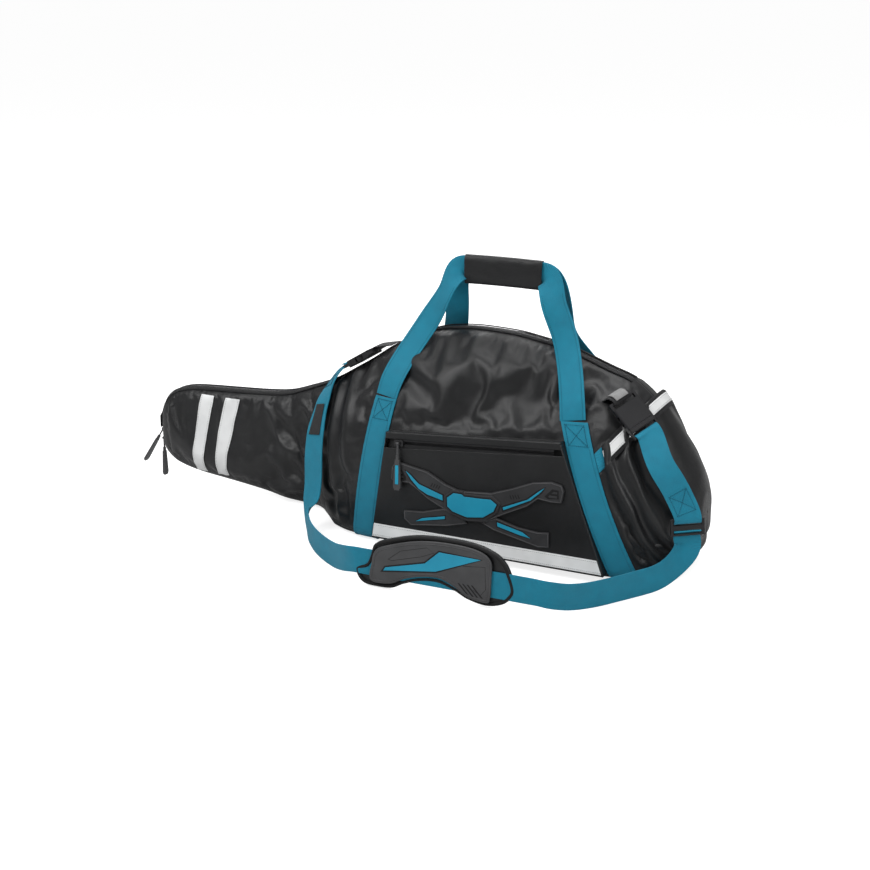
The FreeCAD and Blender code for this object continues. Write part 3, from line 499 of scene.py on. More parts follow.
def wall_mesh(side):
    """One whole side of the bag, from the ridge round to the middle of the base, with its folds."""
    cols, xs = 78, []
    x = TIP_X
    while x < END_X:
        xs.append(x)
        x += 2.2 if (x < TIP_X + 40 or x > END_X - 40) else 4.2
    xs.append(END_X)
    verts, uvs, pins, flat = [], [], [], []
    for x in xs:
        y, z, s = half_section(x, 0.0, cols)
        for j in range(cols):
            px, py, pz = x, side * y[j], max(z[j], 0.0)
            edge = smooth(10, 36, s[j]) * smooth(14, 40, pz if x > SEAM_X else s[-1] - s[j])
            seam = smooth(2, 24, abs(x - SEAM_X)) * smooth(3, 30, x - TIP_X) * smooth(3, 26, END_X - x)
            leg = 1.0
            for k in (0, 1):
                d = abs(x - leg_x(k, pz)) - WEB_W / 2
                if pz < STITCH_Z + 12:
                    leg = min(leg, smooth(0, 22, d))
            pocket = 1.0
            if side < 0 and leg_x(0, pz) < x < leg_x(1, pz) and pz < zip_z(x) + 24:
                pocket = 0.0
            loose = edge * seam * leg * pocket
            if pz < 2 and x > SEAM_X:
                loose = 0.0
            verts.append((px, py, pz))
            flat.append(loose)
            uvs.append((x * MM, s[j] * MM))
            pins.append(1.0 - loose)
    verts = np.array(verts)
    rows = len(xs)
    g = verts.reshape(rows, cols, 3)
    du, dv = np.gradient(g, axis=0), np.gradient(g, axis=1)
    nn = np.cross(du, dv) * side
    nn /= np.maximum(np.linalg.norm(nn, axis=2, keepdims=True), 1e-9)
    nn = nn.reshape(-1, 3)
    push = np.array([folds(v[0], v[2], side) * w for v, w in zip(verts, flat)])
    sign = np.sign(nn[rows // 2 * cols + 30][1] * side) or 1
    verts = (verts + nn * sign * push[:, None]) * MM
    ob = mesh_object("wall_%s" % ("front" if side < 0 else "back"), verts, grid_faces(rows, cols, side > 0),
                     M["shell"], uvs)
    relax(ob, pins, 0.006, grow=0.035)
    return ob


def pick(ob, name, test):
    """A new piece from the faces whose centre passes the test."""
    bm = bmesh.new()
    bm.from_mesh(ob.data)
    bmesh.ops.delete(bm, geom=[f for f in bm.faces if not test(f.calc_center_median() * 1000)],
                     context="FACES")
    me = bpy.data.meshes.new(name)
    bm.to_mesh(me)
    bm.free()
    me.materials.append(ob.data.materials[0])
    new = bpy.data.objects.new(name, me)
    bpy.context.scene.collection.objects.link(new)
    return new


walls = {side: wall_mesh(side) for side in (-1, 1)}
skin = {side: tree_of(walls[side]) for side in (-1, 1)}
for side, word in ((-1, "front"), (1, "back")):
    ob = pick(walls[side], "sleeve_" + word, lambda c: c.x < SEAM_X)
    finish_piece(thicken(ob, 0.0022, sub=1), "bag", "sleeve_%s_wall" % word)
    ob = pick(walls[side], "main_" + word, lambda c: c.x > SEAM_X and c.z > 12.5)
    finish_piece(thicken(ob, 0.0022, sub=1), "bag", "main_%s_wall" % word)
base = join("base_skin", [thicken(pick(walls[s], "b%d" % s, lambda c: c.x > SEAM_X and c.z <= 12.5),
                                  0.003) for s in (-1, 1)])
finish_piece(base, "bag", "base_panel")
for o in walls.values():
    bpy.data.objects.remove(o)


def hit(tree, x, z, side, out):
    """Point on a wall at (x, z), moved off it by `out` millimetres, and the wall's normal."""
    start = Vector((x * MM, side * 0.5, z * MM))
    p, n, _, _ = tree.ray_cast(start, Vector((0, -side, 0)))
    if p is None:
        p, n, _, _ = tree.find_nearest(Vector((x * MM, side * 0.05, z * MM)))
    if n.y * side < 0:
        n = -n
    return p + n * out * MM, n


def spline(pts, count):
    """Smooth path through points: count samples, evenly spaced, with the parameter of each."""
    pts = np.asarray(pts, float)
    t = np.concatenate([[0], np.cumsum(np.sqrt(np.linalg.norm(np.diff(pts, axis=0), axis=1)))])
    n = len(pts)
    a = np.zeros((n, n))
    rhs = np.zeros((n, 3))
    a[0, 0] = a[-1, -1] = 1
    h = np.diff(t)
    for i in range(1, n - 1):
        a[i, i - 1:i + 2] = h[i - 1], 2 * (h[i - 1] + h[i]), h[i]
        rhs[i] = 6 * ((pts[i + 1] - pts[i]) / h[i] - (pts[i] - pts[i - 1]) / h[i - 1])
    m = np.linalg.solve(a, rhs)
    u = np.linspace(0, t[-1], 900)
    i = np.clip(np.searchsorted(t, u) - 1, 0, n - 2)
    d, k = (u - t[i])[:, None], h[i][:, None]
    q = (m[i] * (k - d)**3 + m[i + 1] * d**3) / (6 * k) + (pts[i] / k - m[i]
                        * k / 6) * (k - d) + (pts[i + 1] / k - m[i + 1] * k / 6) * d
    run = np.concatenate([[0], np.cumsum(np.linalg.norm(np.diff(q, axis=0), axis=1))])
    s = np.linspace(0, run[-1], count)
    return np.stack([np.interp(s, run, q[:, c]) for c in range(3)], 1), np.interp(s, run, u), t, run[-1]


def ribbon(name, pts, normals, width=WEB_W, thick=WEB_T, out=0.0, step=5.0, mat=None, camber=0.25, wave=0.0):
    """A webbing band along a path, with ribs across it in its UV map."""
    length = spline(pts, 500)[3]
    count = max(int(length / step), 8)
    c, u, t, length = spline(pts, count)
    nrm = np.array([np.array(n, float) / np.linalg.norm(n) for n in normals])
    i = np.clip(np.searchsorted(t, u) - 1, 0, len(t) - 2)
    f = ((u - t[i]) / (t[i + 1] - t[i]))[:, None]
    f = f * f * (3 - 2 * f)
    nv = nrm[i] * (1 - f) + nrm[i + 1] * f
    tg = np.gradient(c, axis=0)
    tg /= np.linalg.norm(tg, axis=1, keepdims=True)
    nv -= tg * np.sum(nv * tg, axis=1, keepdims=True)
    nv /= np.linalg.norm(nv, axis=1, keepdims=True)
    w = np.cross(tg, nv)
    cols = 11
    verts, uvs = [], []
    centre = []
    for k in range(count):
        ripple = wave * noise.noise(Vector((k * step * 0.02, 1.3, out)))
        for j in range(cols):
            a = -1 + 2 * j / (cols - 1)
            lift = camber * (1 - a * a) + wave * 0.5 * noise.noise(Vector((k * step * 0.03, a * 1.5, 7)))
            p = c[k] + w[k] * a * width / 2 + nv[k] * (out + lift + ripple)
            verts.append(p * MM)
            uvs.append((a * width / 2 * MM, k * length / (count - 1) * MM))
        centre.append((c[k], w[k], nv[k]))
    ob = mesh_object(name, verts, grid_faces(count, cols), mat or M["web"], uvs)
    thicken(ob, thick * MM, offset=0.0, bevel=0.0004)
    return ob, centre


# ---- stitches and teeth by geometry nodes --------------------------------------------------
def repeat_tree():
    """Geometry nodes: copies a small solid along lines, turned to follow them."""
    g = bpy.data.node_groups.new("Repeat Along", "GeometryNodeTree")
    ui = g.interface
    ui.new_socket("Geometry", in_out="INPUT", socket_type="NodeSocketGeometry")
    for name, value in (("Pitch", 0.0032), ("Length", 0.0022), ("Width", 0.0006), ("Height", 0.0004)):
        ui.new_socket(name, in_out="INPUT", socket_type="NodeSocketFloat").default_value = value
    ui.new_socket("Material", in_out="INPUT", socket_type="NodeSocketMaterial")
    ui.new_socket("Geometry", in_out="OUTPUT", socket_type="NodeSocketGeometry")
    n = g.nodes
    gin, gout = n.new("NodeGroupInput"), n.new("NodeGroupOutput")
    to_curve, resample = n.new("GeometryNodeMeshToCurve"), n.new("GeometryNodeResampleCurve")
    resample.mode = "LENGTH"
    points = n.new("GeometryNodeCurveToPoints")
    points.mode = "EVALUATED"
    inst, real = n.new("GeometryNodeInstanceOnPoints"), n.new("GeometryNodeRealizeInstances")
    setm, cube = n.new("GeometryNodeSetMaterial"), n.new("GeometryNodeMeshCube")
    sub, size = n.new("GeometryNodeSubdivisionSurface"), n.new("ShaderNodeCombineXYZ")
    smooth_faces = n.new("GeometryNodeSetShadeSmooth")
    sub.inputs["Level"].default_value = 1
    link = g.links.new
    link(gin.outputs["Geometry"], to_curve.inputs["Mesh"])
    link(to_curve.outputs["Curve"], resample.inputs["Curve"])
    link(gin.outputs["Pitch"], resample.inputs["Length"])
    link(resample.outputs["Curve"], points.inputs["Curve"])
    link(points.outputs["Points"], inst.inputs["Points"])
    link(points.outputs["Rotation"], inst.inputs["Rotation"])
    link(gin.outputs["Width"], size.inputs["X"])
    link(gin.outputs["Height"], size.inputs["Y"])
    link(gin.outputs["Length"], size.inputs["Z"])
    link(size.outputs["Vector"], cube.inputs["Size"])
    link(cube.outputs["Mesh"], sub.inputs["Mesh"])
    link(sub.outputs["Mesh"], inst.inputs["Instance"])
    link(inst.outputs["Instances"], real.inputs["Geometry"])
    link(real.outputs["Geometry"], smooth_faces.inputs["Geometry"])
    link(smooth_faces.outputs["Geometry"], setm.inputs["Geometry"])
    link(gin.outputs["Material"], setm.inputs["Material"])
    link(setm.outputs["Geometry"], gout.inputs["Geometry"])
    return g


REPEAT = repeat_tree()


def repeat(name, lines, mat, body, pitch=3.2, length=2.3, width=0.7, height=0.5, cad=()):
    """Stitches, teeth or ribs along lines given in metres."""
    verts, edges = [], []
    for line in lines:
        base = len(verts)
        verts += [tuple(p) for p in line]
        edges += [(base + i, base + i + 1) for i in range(len(line) - 1)]
    me = bpy.data.meshes.new(name)
    me.from_pydata(verts, edges, [])
    ob = bpy.data.objects.new(name, me)
    bpy.context.scene.collection.objects.link(ob)
    mod = ob.modifiers.new("repeat", "NODES")
    mod.node_group = REPEAT
    for item in REPEAT.interface.items_tree:
        if item.item_type == "SOCKET" and item.in_out == "INPUT" and item.name != "Geometry":
            value = {"Pitch": pitch * MM, "Length": length * MM, "Width": width * MM, "Height": height * MM,
                     "Material": mat}[item.name]
            mod[item.identifier] = value
    apply_all(ob)
    ob.data.materials.clear()
    ob.data.materials.append(mat)
    return finish_piece(ob, body, *cad)


def wall_line(tree, pts, side, out, step=4.0):
    """A line over a wall through (x, z) points."""
    line = []
    for (x0, z0), (x1, z1) in zip(pts, pts[1:]):
        n = max(int(math.hypot(x1 - x0, z1 - z0) / step), 1)
        for i in range(n):
            line.append(hit(tree, x0 + (x1 - x0) * i / n, z0 + (z1 - z0) * i / n, side, out)[0])
    line.append(hit(tree, *pts[-1], side, out)[0])
    return line


def wall_band(name, tree, side, corner, rows, cols, out, thick, mat, cad, body="bag", blur=2):
    """A band over a wall: corner(u, v) gives (x, z); u runs across it, v along it."""
    p = np.zeros((rows, cols, 3))
    uv = []
    for i in range(rows):
        for j in range(cols):
            x, z = corner(j / (cols - 1), i / (rows - 1))
            p[i, j] = hit(tree, x, z, side, out)[0]
    for _ in range(blur):
        p[1:-1, 1:-1] = (p[1:-1, 1:-1] * 2 + p[:-2, 1:-1] + p[2:, 1:-1] + p[1:-1, :-2] + p[1:-1, 2:]) / 6
    across = np.linalg.norm(p[rows // 2, 0] - p[rows // 2, -1])
    along = np.concatenate([[0], np.cumsum(np.linalg.norm(np.diff(p[:, cols // 2], axis=0), axis=1))])
    for i in range(rows):
        for j in range(cols):
            uv.append((across * (j / (cols - 1) - 0.5), along[i]))
    ob = mesh_object(name, p.reshape(-1, 3), grid_faces(rows, cols, side > 0), mat, uv)
    thicken(ob, thick * MM, offset=0.0, bevel=0.0003)
    return finish_piece(ob, body, *cad)


# ---- legs with their stitching -------------------------------------------------------------
leg_trees = {}
for k, side_word in ((0, "left"), (1, "right")):
    for s, face in ((-1, "front"), (1, "back")):
        def corner(u, v, k=k):
            z = 1.0 + (STITCH_Z - 6.6) * v
            return leg_x(k, z) + (u - 0.5) * WEB_W, z
        ob = wall_band("leg_%s_%s" % (face, side_word), skin[s], s, corner, 90, 15, 1.5, 1.5, M["web"],
                       ["leg_%s_%s" % (face, side_word)], blur=4)
        leg_trees[(k, s)] = tree_of(ob)
lines, cross = [], []
for (k, s), tree in leg_trees.items():
    top = STITCH_Z - 9
    low = top - 28
    for d in (-15.5, 15.5):
        lines.append(wall_line(tree, [(leg_x(k, 4) + d, 4), (leg_x(k, low - 4) + d, low - 4)], s, 0.15))
    a, b = (leg_x(k, top) - 14, top), (leg_x(k, top) + 14, top)
    c, d = (leg_x(k, low) + 14, low), (leg_x(k, low) - 14, low)
    for pair in ((a, b), (b, c), (c, d), (d, a), (a, c), (b, d)):
        cross.append(wall_line(tree, list(pair), s, 0.4))
repeat("leg_edge_stitches", lines, M["web_thread"], "bag", 3.0, 2.2, 0.8, 0.7)
repeat("leg_cross_stitches", cross, M["web_thread"], "bag", 2.6, 2.2, 1.2, 1.0)


# ---- sleeve bands --------------------------------------------------------------------------
for i, (top, bottom) in enumerate((((-549, -524), (-563, -540)), ((-500, -473), (-516, -494)))):
    def corner(u, v, top=top, bottom=bottom):
        z = 34 + (170 - 34) * v
        f = (z - 46) / (163 - 46)
        left, right = bottom[0] + (top[0] - bottom[0]) * f, bottom[1] + (top[1] - bottom[1]) * f
        return left + (right - left) * u, z
    wall_band("sleeve_band_%d" % (i + 1), skin[-1], -1, corner, 50, 9, 0.9, 0.5, M["tape"],
              ["sleeve_stripe_%d" % (i + 1)])
    repeat("sleeve_band_stitches_%d" % (i + 1),
           [wall_line(skin[-1], [corner(u, 0.02), corner(u, 0.98)], -1, 1.3) for u in (0.1, 0.9)],
           M["thread"], "bag", 3.0, 2.2, 0.5, 0.4)


# ---- binding and zip over the ridge --------------------------------------------------------
def ridge_z(x):
    return float(pchip([s[0] for s in STATIONS], [s[2] for s in STATIONS], x))


def over_ridge(offset_y, out, x0, x1, step=5.0, z_from=None):
    """A line over the ridge at a sideways offset; it starts down the sleeve tip when z_from is given."""
    line = []
    if z_from is not None:
        z = z_from
        while z < 128:
            line.append((TIP_X - out, offset_y, z))
            z += step
    x = x0
    while x <= x1:
        y, z, s = half_section(x, out, 160)
        zz = np.interp(abs(offset_y), y[:60], z[:60])
        line.append((x, offset_y, zz))
        x += step if x > TIP_X + 45 else 1.5
    pts = np.array(line, float)
    run = np.concatenate([[0], np.cumsum(np.linalg.norm(np.diff(pts, axis=0), axis=1))])
    s = np.arange(0, run[-1], 4.0)
    pts = np.stack([np.interp(s, run, pts[:, c]) for c in range(3)], 1)
    for _ in range(3):
        pts[1:-1] = (pts[:-2] + 2 * pts[1:-1] + pts[2:]) / 4
    return pts


def strip_between(name, a, b, thick, mat, cad, puff=0.0, cols=5):
    """A band between two lines."""
    n = min(len(a), len(b))
    a = np.array([a[int(i * (len(a) - 1) / (n - 1))] for i in range(n)])
    b = np.array([b[int(i * (len(b) - 1) / (n - 1))] for i in range(n)])
    verts, uvs, run = [], [], 0.0
    for i in range(n):
        run += np.linalg.norm(a[i] - a[i - 1]) if i else 0
        for j in range(cols):
            f = j / (cols - 1)
            p = a[i] * (1 - f) + b[i] * f
            out = np.array([0, float(np.sign(p[1])), 1.0]) if p[0] > TIP_X + 3 else np.array([-1.0, 0, 0])
            p = p + out / np.linalg.norm(out) * puff * (1 - (2 * f - 1) ** 2)
            verts.append(p * MM)
            uvs.append((f * 0.008, run * MM))
    ob = mesh_object(name, verts, grid_faces(n, cols, True), mat, uvs)
    thicken(ob, thick * MM, offset=0.0, bevel=0.0002)
    return finish_piece(ob, "bag", *cad)


for s in (-1, 1):
    strip_between("binding_%s" % ("front" if s < 0 else "back"), over_ridge(s * 6.2, 1.2, TIP_X + 1,
                                                                ZIP_END - 6, 5, 98),
                              over_ridge(s * 13.6, 1.2, TIP_X + 1, ZIP_END - 6, 5, 98), 1.1, M["binding"],
                              ["ridge_bindings"] if s < 0 else [], puff=0.9)
    strip_between("zip_tape_%s" % ("front" if s < 0 else "back"), over_ridge(s * 2.0, -1.4, TIP_X + 1,
                                                                ZIP_END - 2, 5, 68),
                  over_ridge(s * 6.6, -1.2, TIP_X + 1, ZIP_END - 2, 5, 68), 0.7, M["binding"],
                  ["main_zip_tapes"] if s < 0 else [])
repeat("binding_stitches", [over_ridge(s * d, 2.3, TIP_X + 1, ZIP_END - 8, 5, 99) * MM for s in (-1,
                                                                1) for d in (8.0, 12.4)],
       M["thread"], "bag", 3.0, 2.1, 0.5, 0.4)
repeat("long_zip_teeth", [over_ridge(d, -0.4, TIP_X + 1, ZIP_END - 2, 5, 68) * MM for d in (-1.05, 1.05)],
       M["chain"], "bag",
       1.5, 0.95, 2.0, 1.6, cad=["main_zip_chain"])

# seam between sleeve and body, and around the stiff base
for s in (-1, 1):
    edge = []
    for z in np.linspace(4, ridge_z(SEAM_X) - 12, 44):
        p, n = hit(skin[s], SEAM_X - 4, z, s, 0.6)
        edge.append(p)
    repeat("seam_stitches_%s" % ("front" if s < 0 else "back"), [edge], M["thread"], "bag", 3.0, 2.2, 0.5,
           0.4)
    hem = [hit(skin[s], x, 14.5, s, 0.5)[0] for x in np.arange(SEAM_X + 3, 296, 4.0)]
    repeat("base_stitches_%s" % ("front" if s < 0 else "back"), [hem], M["thread"], "bag", 3.0, 2.2, 0.5,
           0.4)


# ---- front pocket --------------------------------------------------------------------------
def slab(name, outline, low, high, mat, cad, body="bag", bevel=0.8, plane=None):
    """A bevelled slab over (x, z) points, on the leaning pocket face or on the plane given."""
    bm = bmesh.new()
    at = plane or (lambda x, z, out: (x * MM, panel_y(z, out) * MM, z * MM))
    bottom = [bm.verts.new(at(x, z, low)) for x, z in outline]
    top = [bm.verts.new(at(x, z, high)) for x, z in outline]
    bm.faces.new(bottom)
    bm.faces.new(top[::-1])
    n = len(outline)
    for i in range(n):
        bm.faces.new((bottom[i], top[i], top[(i + 1) % n], bottom[(i + 1) % n]))
    bmesh.ops.recalc_face_normals(bm, faces=bm.faces)
    me = bpy.data.meshes.new(name)
    bm.to_mesh(me)
    bm.free()
    me.materials.append(mat)
    ob = bpy.data.objects.new(name, me)
    bpy.context.scene.collection.objects.link(ob)
    mod = ob.modifiers.new("bevel", "BEVEL")
    mod.width, mod.segments, mod.limit_method, mod.angle_limit = bevel * MM, 3, "ANGLE", math.radians(28)
    apply_all(ob)
    layer = ob.data.uv_layers.new(name="UVMap")
    for l, loop in zip(layer.data, ob.data.loops):
        co = ob.data.vertices[loop.vertex_index].co
        l.uv = (co.x, co.z)
    return finish_piece(ob, body, *cad)


def panel_sheet(name, corner, rows, cols, low, high, mat, cad, wobble=0.0, seed=0.0):
    """Cloth over part of the leaning pocket face, with a soft wobble that dies at its edges."""
    verts, uvs = [], []
    for i in range(rows):
        for j in range(cols):
            u, v = j / (cols - 1), i / (rows - 1)
            x, z = corner(u, v)
            fade = smooth(0, 0.12, u) * smooth(0, 0.12, 1 - u) * smooth(0, 0.2, v) * smooth(0, 0.2, 1 - v)
            w = wobble * fade * (noise.noise(Vector((x * 0.014, z * 0.02,
                        seed))) + 0.5 * noise.noise(Vector((x * 0.04, z * 0.05, seed))))
            verts.append((x * MM, panel_y(z, high + w) * MM, z * MM))
            uvs.append((x * MM, z * MM))
    ob = mesh_object(name, verts, grid_faces(rows, cols), mat, uvs)
    thicken(ob, (high - low) * MM, offset=-1.0, bevel=0.0005)
    return finish_piece(ob, "bag", *cad)


def side_wall(name, pts):
    """The pocket's narrow gusset from its face back to the wall, along (x, z) points."""
    verts, uvs, run = [], [], 0
    for i, (x, z) in enumerate(pts):
        p, _ = hit(skin[-1], x, z, -1, 0.3)
        q = Vector((x * MM, panel_y(z, -0.2) * MM, z * MM))
        if p.y < q.y:
            p = Vector((q.x, q.y + 0.0005, q.z))
        run += math.dist(pts[i - 1], pts[i]) if i else 0
        for j in range(4):
            verts.append(q.lerp(p, j / 3))
            uvs.append((j * 0.004, run * MM))
    ob = mesh_object(name, verts, grid_faces(len(pts), 4), M["shell"], uvs)
    thicken(ob, 0.0016, offset=0.0)
    return finish_piece(ob, "bag")


EDGE = (-134.0, 132.0)


def pocket_x(side, z, inset=0.6):
    return leg_x(side, z) + (WEB_W / 2 + inset) * (1 if side == 0 else -1)


def lower_part(u, v):
    x0, x1 = pocket_x(0, PANEL_Z), pocket_x(1, PANEL_Z)
    x = x0 + (x1 - x0) * u
    top = zip_z(x) - 7.5
    z = PANEL_Z + (top - PANEL_Z) * v
    return pocket_x(0, z) + (pocket_x(1, z) - pocket_x(0, z)) * u, z


def upper_part(u, v):
    x = pocket_x(0, 175) + (pocket_x(1, 190) - pocket_x(0, 175)) * u
    z = zip_z(x) + 6 + 9.5 * v
    return pocket_x(0, z) + (pocket_x(1, z) - pocket_x(0, z)) * u, z


panel_sheet("pocket_cloth", lower_part, 52, 84, -1.8, 0.0, M["shell"], ["pocket_panel"], 1.0, 3.0)
panel_sheet("pocket_top_cloth", upper_part, 8, 84, -1.8, 0.0, M["shell"], ["pocket_flange"], 0.3, 8.0)
n_side = 40
for side in (0, 1):
    zs = np.linspace(PANEL_Z, zip_z(EDGE[side]) + 15, n_side)
    side_wall("pocket_gusset_%s" % ("left", "right")[side], [(pocket_x(side, z, 1.4), z) for z in zs])
side_wall("pocket_gusset_foot", [(x, PANEL_Z + 0.8) for x in np.linspace(pocket_x(0, PANEL_Z), pocket_x(1,
                                                                PANEL_Z), 70)])
side_wall("pocket_gusset_top", [(x, zip_z(x) + 15.2) for x in np.linspace(pocket_x(0, 186), pocket_x(1,
                                                                202), 60)])


def face_line(pts, out, step=4.0):
    line = []
    for (x0, z0), (x1, z1) in zip(pts, pts[1:]):
        n = max(int(math.hypot(x1 - x0, z1 - z0) / step), 1)
        for i in range(n + 1):
            x, z = x0 + (x1 - x0) * i / n, z0 + (z1 - z0) * i / n
            if not line or i:
                line.append(Vector((x * MM, panel_y(z, out) * MM, z * MM)))
    return line


xa, xb = ZIP_A[0] - 9, ZIP_B[0] + 4
for d0, d1, word in ((-7.8, -2.2, "lower"), (2.2, 6.2, "upper")):
    panel_sheet("pocket_zip_tape_" + word, lambda u, v: (xa + (xb - xa) * u,
                                                         zip_z(xa + (xb - xa) * u) + d0 + (d1 - d0) * v),
                3, 60, -1.6, -0.8, M["binding"], ["pocket_zip_tapes"] if word == "upper" else [])
repeat("pocket_zip_teeth", [face_line([(xa, zip_z(xa) + d), (xb, zip_z(xb) + d)], -0.4) for d in (-1.05,
                                                                1.05)], M["chain"],
       "bag", 1.5, 0.95, 2.0, 1.4, cad=["pocket_chain"])
repeat("pocket_zip_stitches", [face_line([(xa, zip_z(xa) + d), (xb, zip_z(xb) + d)], 0.25)
                               for d in (-12.5, -8.4, 8.4, 12.5)], M["thread"], "bag", 3.0, 2.2, 0.55, 0.45)
panel_sheet("low_band", lambda u, v: ((leg_x(0, 17 + 21 * v) + 22) * (1 - u) + (leg_x(1,
                                                                17 + 21 * v) - 22) * u, 17 + 21 * v),
            6, 60, 0.25, 0.9, M["tape"], ["front_stripe"], 0.25, 5.0)
repeat("low_band_stitches", [face_line([(leg_x(0, z) + 24, z), (leg_x(1, z) - 24, z)], 1.15) for z in (19.6,
                                                                35.4)],
       M["thread"], "bag", 3.2, 2.3, 0.55, 0.45)

# ---- badge ---------------------------------------------------------------------------------
UP = [(-127, 134), (-120, 143), (-89, 138), (-66, 134), (-35, 119), (-12, 112), (40, 116), (74, 128), (107,
                                                                142), (136, 147),
      (153, 144), (157, 135), (154, 117), (138, 116), (117, 118), (100, 104), (63, 86), (33, 70), (3, 67),
      (-28, 76),
      (-65, 92), (-83, 104), (-97, 112), (-120, 110), (-128, 114)]
LOW_L = [(-105, 67), (-73, 70), (-38, 80), (-11, 76), (3, 62), (-32, 53), (-92, 45), (-104, 54)]
LOW_R = [(25, 68), (50, 79), (85, 70), (119, 67), (136, 69), (137, 46), (120, 44), (86, 51), (47, 59)]
PLATE = [(-36, 100), (-22, 113), (-4, 113), (-1, 110), (29, 111), (44, 113), (58, 103), (53, 88), (33, 71),
         (3, 68),
         (-25, 76), (-35, 84)]
INNER = [(-31, 100), (-20, 109), (-6, 109), (-2, 106), (28, 107), (42, 108), (53, 101), (48, 89), (31, 77),
         (4, 73),
         (-21, 79), (-30, 86)]
WINGS = [[(-104, 132), (-95, 127), (-79, 114), (-38, 102), (-37, 92), (-65, 98), (-80, 105), (-94, 118)],
         [(60, 98), (100, 116), (116, 130), (128, 138), (122, 129), (106, 114), (62, 92)]]
WEDGES = [[(-84, 53), (-73, 60), (-34, 69), (-34, 64)], [(52, 73), (94, 64), (108, 56), (90, 58), (53, 66)]]
TABS = [[(-123, 132), (-109, 131), (-102, 121), (-102, 116), (-122, 116)],
        [(127, 124), (139, 137), (149, 136), (150, 123), (133, 121)]]
BARS = [[(-119, 119), (-106, 119), (-107, 122), (-119, 122)], [(-119, 125), (-109, 125), (-111, 128),
                                                               (-119, 128)],
        [(133, 124), (147, 124), (147, 127), (135, 127)], [(138, 130), (147, 130), (147, 133), (141, 133)]]


def scaled(pts, by):
    """Outline moved outwards by a distance."""
    n, area = len(pts), 0
    for i in range(n):
        area += pts[i][0] * pts[(i + 1) % n][1] - pts[(i + 1) % n][0] * pts[i][1]
    s = 1 if area > 0 else -1
    out = []
    for i in range(n):
        p, q, r = Vector(pts[i - 1]), Vector(pts[i]), Vector(pts[(i + 1) % n])
        d0, d1 = (q - p).normalized(), (r - q).normalized()
        n0, n1 = Vector((d0.y, -d0.x)) * s, Vector((d1.y, -d1.x)) * s
        m = (n0 + n1)
        k = by * 2 / max(m.length_squared, 0.6)
        out.append((q.x + m.x * k, q.y + m.y * k))
    return out


slab("badge_upper", UP, 0.3, 5.0, M["dark_rubber"], ["badge_arms"], bevel=1.0)
slab("badge_foot_left", LOW_L, 0.3, 3.4, M["dark_rubber"], ["badge_feet"], bevel=0.8)
slab("badge_foot_right", LOW_R, 0.3, 3.4, M["dark_rubber"], [], bevel=0.8)
slab("badge_middle", PLATE, 0.3, 7.0, M["dark_rubber"], ["badge_plate"], bevel=0.9)
# the groove slabs round the inlays are near-black painted shade in the gaps
slab("badge_middle_groove", scaled(INNER, 1.4), 5.0, 7.15, M["groove"], [], bevel=0.2)
slab("badge_middle_inlay", scaled(INNER, -0.8), 5.4, 7.7, M["blue"], ["badge_plate_inlay"], bevel=0.5)
for i, w in enumerate(WINGS):
    slab("badge_wing_groove_%d" % i, scaled(w, 1.3), 3.6, 5.2, M["groove"], [], bevel=0.15)
    slab("badge_wing_%d" % i, scaled(w, -1.0), 4.0, 5.7, M["blue"], ["badge_strips"] if i == 0 else [],
         bevel=0.4)
for i, w in enumerate(WEDGES):
    slab("badge_wedge_groove_%d" % i, scaled(w, 1.4), 2.4, 3.6, M["groove"], [], bevel=0.15)
    slab("badge_wedge_%d" % i, scaled(w, -0.4), 2.6, 4.0, M["blue"], [], bevel=0.3)
# framed end tabs with two short bars each, and small hatch marks; the tabs and hatches are near-black
# painted shade of recesses
for i, t in enumerate(TABS):
    slab("badge_tab_%d" % i, t, 4.2, 5.25, M["groove"], [], bevel=0.2)
for i, t in enumerate(BARS):
    slab("badge_tab_bar_%d" % i, t, 4.6, 5.9, M["dark_rubber"], [], bevel=0.3)
for i, (x, z, k) in enumerate(((-60, 112, 1), (74, 112, -1))):
    for j in range(4):
        x0 = x + j * 4.2
        slab("badge_hatch_%d_%d" % (i, j), [(x0, z - 0.8 * j * k), (x0 + 1.6, z - 0.8 * j * k),
                                            (x0 + 1.6 + 3 * k, z + 6 - 0.8 * j * k),
             (x0 + 3 * k, z + 6 - 0.8 * j * k)], 4.4, 5.2, M["groove"], [], bevel=0.1)


# ---- end pocket, its hem and the webbing under it ------------------------------------------
def grown_point_rows(grow, x0, cols):
    rows, xs = [], list(np.arange(x0, END_X - 42, 4.0)) + list(np.arange(END_X - 42, END_X, 2.0)) + [END_X]
    length = END_X - TIP_X
    for x in xs:
        y, z, s = half_section(x, grow, cols)
        gx = TIP_X - grow + (x - TIP_X) * (length + 2 * grow) / length
        full_y, full_z = np.concatenate([-y[::-1], y[1:]]), np.concatenate([z[::-1], z[1:]])
        rows.append(np.stack([np.full_like(full_y, gx), full_y, full_z], 1))
    last, centre = rows[-1], rows[-1].mean(axis=0)
    for f in (0.75, 0.5, 0.25, 0.05):
        rows.append(centre + (last - centre) * f + np.array([0.6 * (1 - f), 0, 0]))
    return np.array(rows)


LOW_G, HIGH_G = grown_point_rows(1.2, 140, 64), grown_point_rows(POCKET_OUT, 140, 64)


